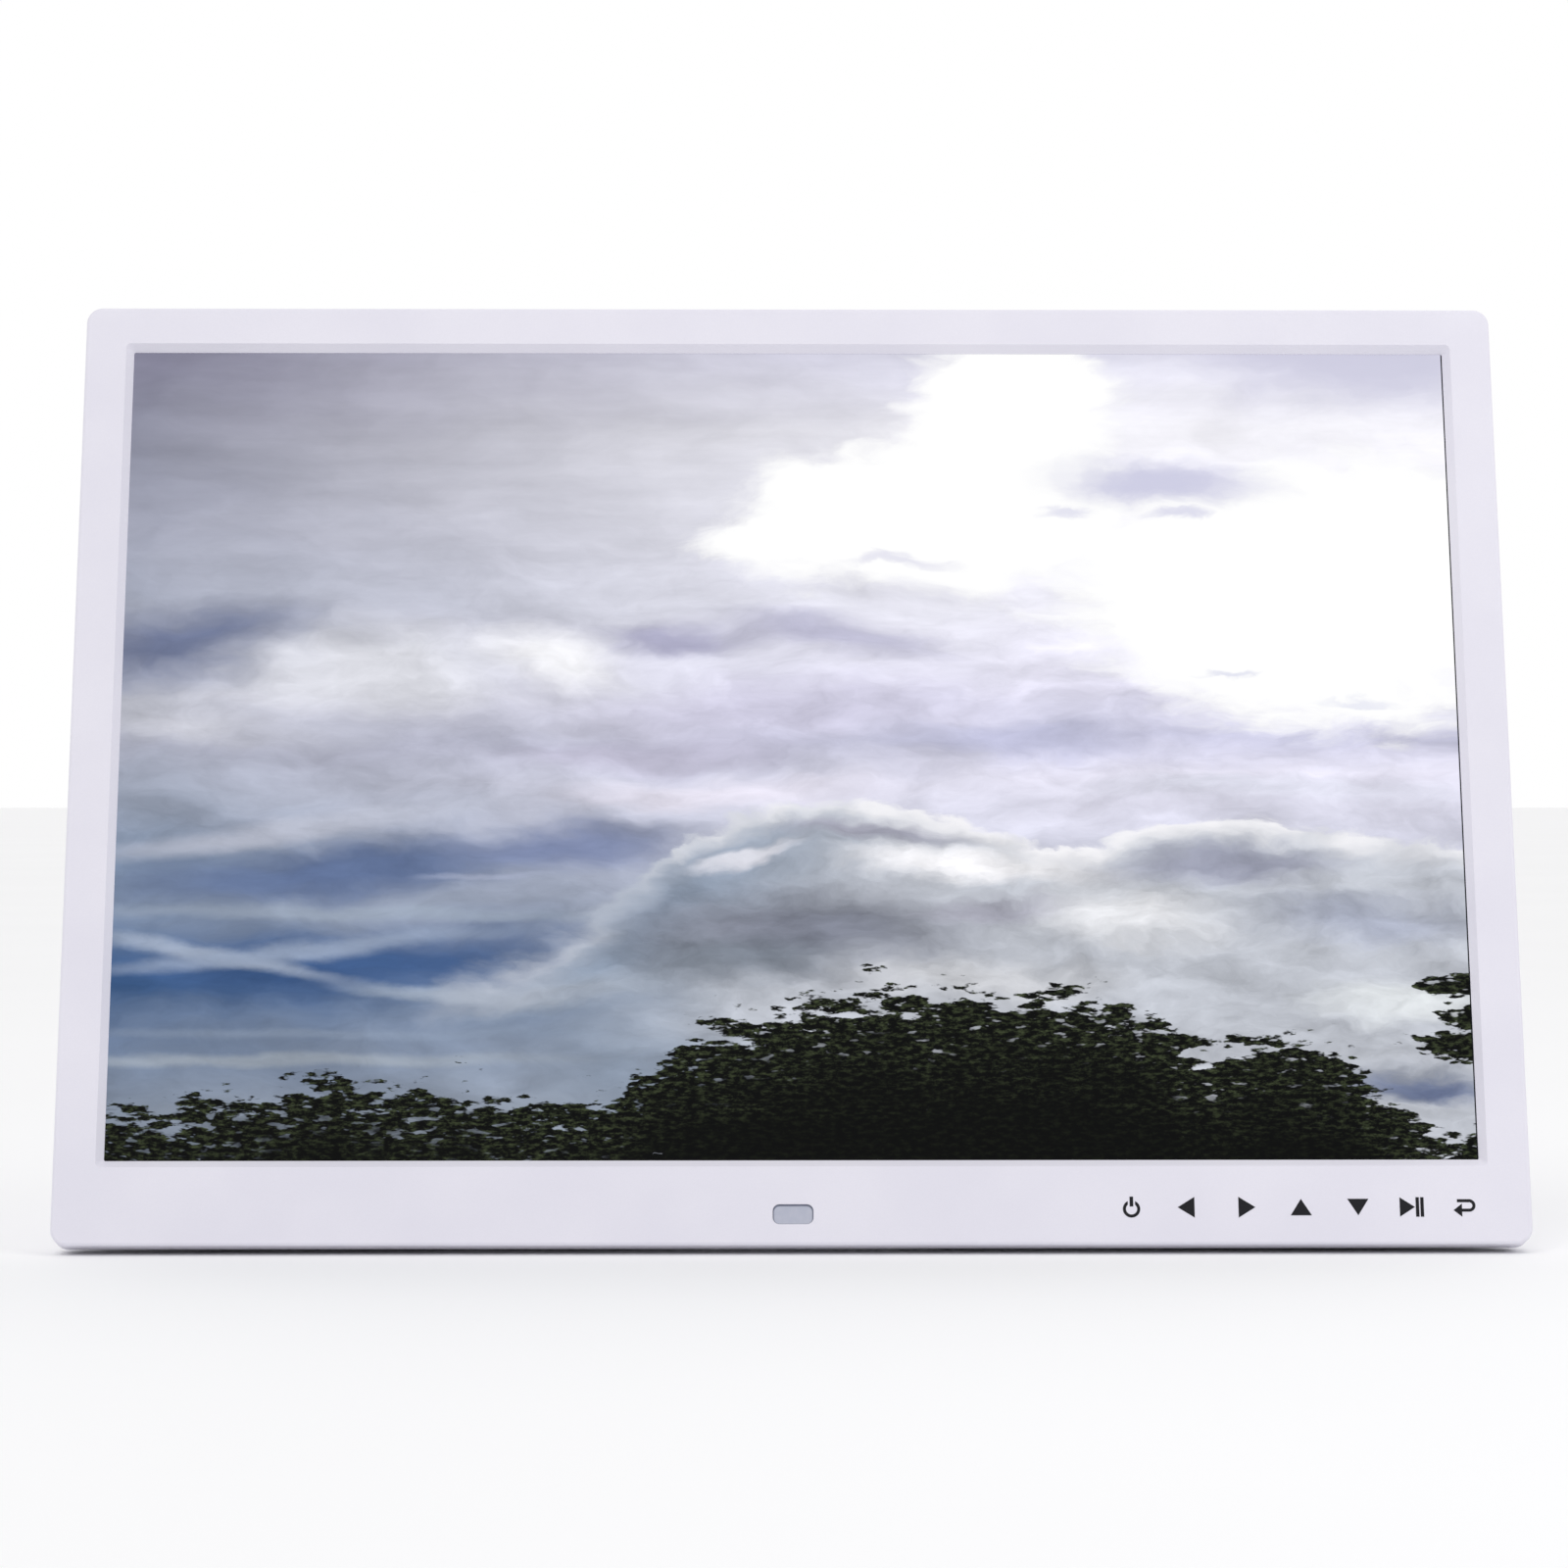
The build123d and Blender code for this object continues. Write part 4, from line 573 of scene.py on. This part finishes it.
def screen():
    """Matt polariser, lit from behind by the picture. Its edge outside the lit area is black."""
    g = Graph("screen")
    at = picture_point(g)
    colour = trees(g, at, cumulus(g, at, sky(g, at)))
    centred = g.vector("SUBTRACT", at, (PICTURE_W / 2, 0.5, 0))
    x, y, _ = g.split(g.vector("ABSOLUTE", centred))
    lit = g.math("MULTIPLY", g.math("LESS_THAN", x, PICTURE_W / 2), g.math("LESS_THAN", y, 0.5))
    colour = g.mix(lit, srgb(20, 22, 26), colour)
    fine = g.noise(at, 900.0, 1.0)
    return g.done(Base_Color=srgb(3, 3, 4), Emission_Color=colour, Emission_Strength=1.0,
                  Roughness=g.span(fine, 0.3, 0.7, 0.40, 0.50), Specular_IOR_Level=0.04)


# ---------------------------------------------------------------- dressing the CAD nodes
MATERIALS = {                                    # by the record's material slots
    "white_plastic": white_plastic(),
    "ink": ink(),
    "ir_lens": ir_lens(),
    "screen": screen(),
    "glass": sheet("glass", (214, 224, 226), (226, 234, 236), 0.95, 0.02),
    "optical_film": sheet("optical_film", (214, 216, 220), (228, 230, 232), 0.4, 0.35),
    "light_guide": light_guide(),
    "white_panel_plastic": moulded("white_panel_plastic", (214, 213, 208), (226, 225, 220)),
    "sheet_steel": metal("sheet_steel", (176, 178, 182), 0.32, (1, 0.2, 1), 0.5),
    "steel": metal("steel", (190, 190, 194), 0.22, (1, 0.1, 1)),
    "black_screw": metal("black_screw", (52, 52, 56), 0.36),
    "brass": metal("brass", (206, 172, 104), 0.28, (1, 1, 0.2)),
    "aluminium": metal("aluminium", (206, 208, 210), 0.3, (0.1, 1, 1)),
    "circuit_board": circuit_board(),
    "flex_film": flex_film(),
    "chip": moulded("chip", (24, 24, 26), (34, 34, 36), (0.5, 0.65), 5.0),
    "connector_plastic": moulded("connector_plastic", (222, 216, 198), (232, 227, 212)),
    "black_plastic": moulded("black_plastic", (20, 20, 22), (30, 30, 33), (0.32, 0.46)),
    "lead_cover": moulded("lead_cover", (24, 24, 26), (36, 36, 38), (0.35, 0.5)),
    "ribbon": ribbon(),
    "foam": foam(),
    "rubber": rubber(),
    "insulator": moulded("insulator", (26, 26, 29), (34, 34, 37), (0.25, 0.35)),
    "paper_cone": paper_cone(),
    "magnet": metal("magnet", (70, 70, 74), 0.55),
}
for part in frame["record"]["subparts"]:
    mesh = NODES[part["node"]].data
    mesh.materials.clear()
    mesh.materials.append(MATERIALS[part["material_slot"]])

ROUNDED = {"stand_leg": 0.5 * MM, "leg_tip_pad": 0.4 * MM}   # edge radii that moulding leaves
SAME_POINT = 0.001 * MM
SHARP = math.radians(40)                         # edges that turn by less stay as they are


def rounded(node, radius):
    """Softens a CAD node's sharp edges. Its faces are joined first, because a CAD mesh's
    faces have corners of their own, and a bevel needs shared ones."""
    joined = NODES[node].modifiers.new("joined_faces", "WELD")
    joined.merge_threshold = SAME_POINT
    bevel = NODES[node].modifiers.new("moulded_edges", "BEVEL")
    bevel.width, bevel.segments = radius, 3
    bevel.limit_method, bevel.angle_limit = "ANGLE", SHARP


for node, radius in ROUNDED.items():
    rounded(node, radius)

# ---------------------------------------------------------------- stage
FLOOR_SIDE = 40.0
STUDIO_FRONT, STUDIO_BACK = 0.66, 1.0            # brightness in front and behind
STUDIO_TURN = (-0.2, 0.5)                        # Y of the directions between the two
KEY_TOWARD, KEY_POWER, KEY_SPREAD = (-0.35, -0.75, 1.0), 0.67, math.radians(50)


def floor():
    """A plain pale floor, so wide that its far edge isn't seen."""
    half = FLOOR_SIDE / 2
    mesh = bpy.data.meshes.new("floor")
    mesh.from_pydata([(-half, -half, 0), (half, -half, 0), (half, half, 0), (-half, half, 0)],
                     [], [(0, 1, 2, 3)])
    made = bpy.data.objects.new("floor", mesh)
    bpy.context.scene.collection.objects.link(made)
    g = Graph("floor")
    colour = g.mix(g.noise(g.place, 3.0, 2.0), srgb(246, 246, 247), srgb(250, 250, 251))
    mesh.materials.append(g.done(Base_Color=colour, Roughness=0.8, Specular_IOR_Level=0.1))


def world():
    """A studio whose light is full from behind the object and dimmer from in front. Its walls
    look white from every side."""
    made = bpy.data.worlds.new("studio")
    made.use_nodes = True
    tree = made.node_tree
    toward = tree.nodes.new("ShaderNodeTexCoord")
    axes = tree.nodes.new("ShaderNodeSeparateXYZ")
    shade = tree.nodes.new("ShaderNodeMapRange")
    tree.links.new(toward.outputs["Generated"], axes.inputs[0])
    tree.links.new(axes.outputs["Y"], shade.inputs[0])
    path = tree.nodes.new("ShaderNodeLightPath")
    strength = tree.nodes.new("ShaderNodeMath")
    strength.operation = "MAXIMUM"
    tree.links.new(shade.outputs[0], strength.inputs[0])
    tree.links.new(path.outputs["Is Camera Ray"], strength.inputs[1])
    tree.links.new(strength.outputs[0], tree.nodes["Background"].inputs["Strength"])
    tree.nodes["Background"].inputs["Color"].default_value = (1.0, 1.0, 1.0, 1.0)
    for socket, value in zip(shade.inputs[1:5], (*STUDIO_TURN, STUDIO_FRONT, STUDIO_BACK)):
        socket.default_value = value
    bpy.context.scene.world = made


camera()
world()
floor()
sun(KEY_TOWARD, KEY_POWER, KEY_SPREAD, (1.0, 0.99, 0.98))
lamp("near", (0.32, -0.28, 0.78), (0, 0, 0.20), (0.3, 0.3), 0.42, (1.0, 1.0, 1.0))
lamp("fill", (1.3, -0.9, 0.9), (0, 0, 0.12), (1.0, 1.0), 3.0, (0.98, 0.99, 1.0))
bpy.context.scene.view_settings.view_transform = "Standard"
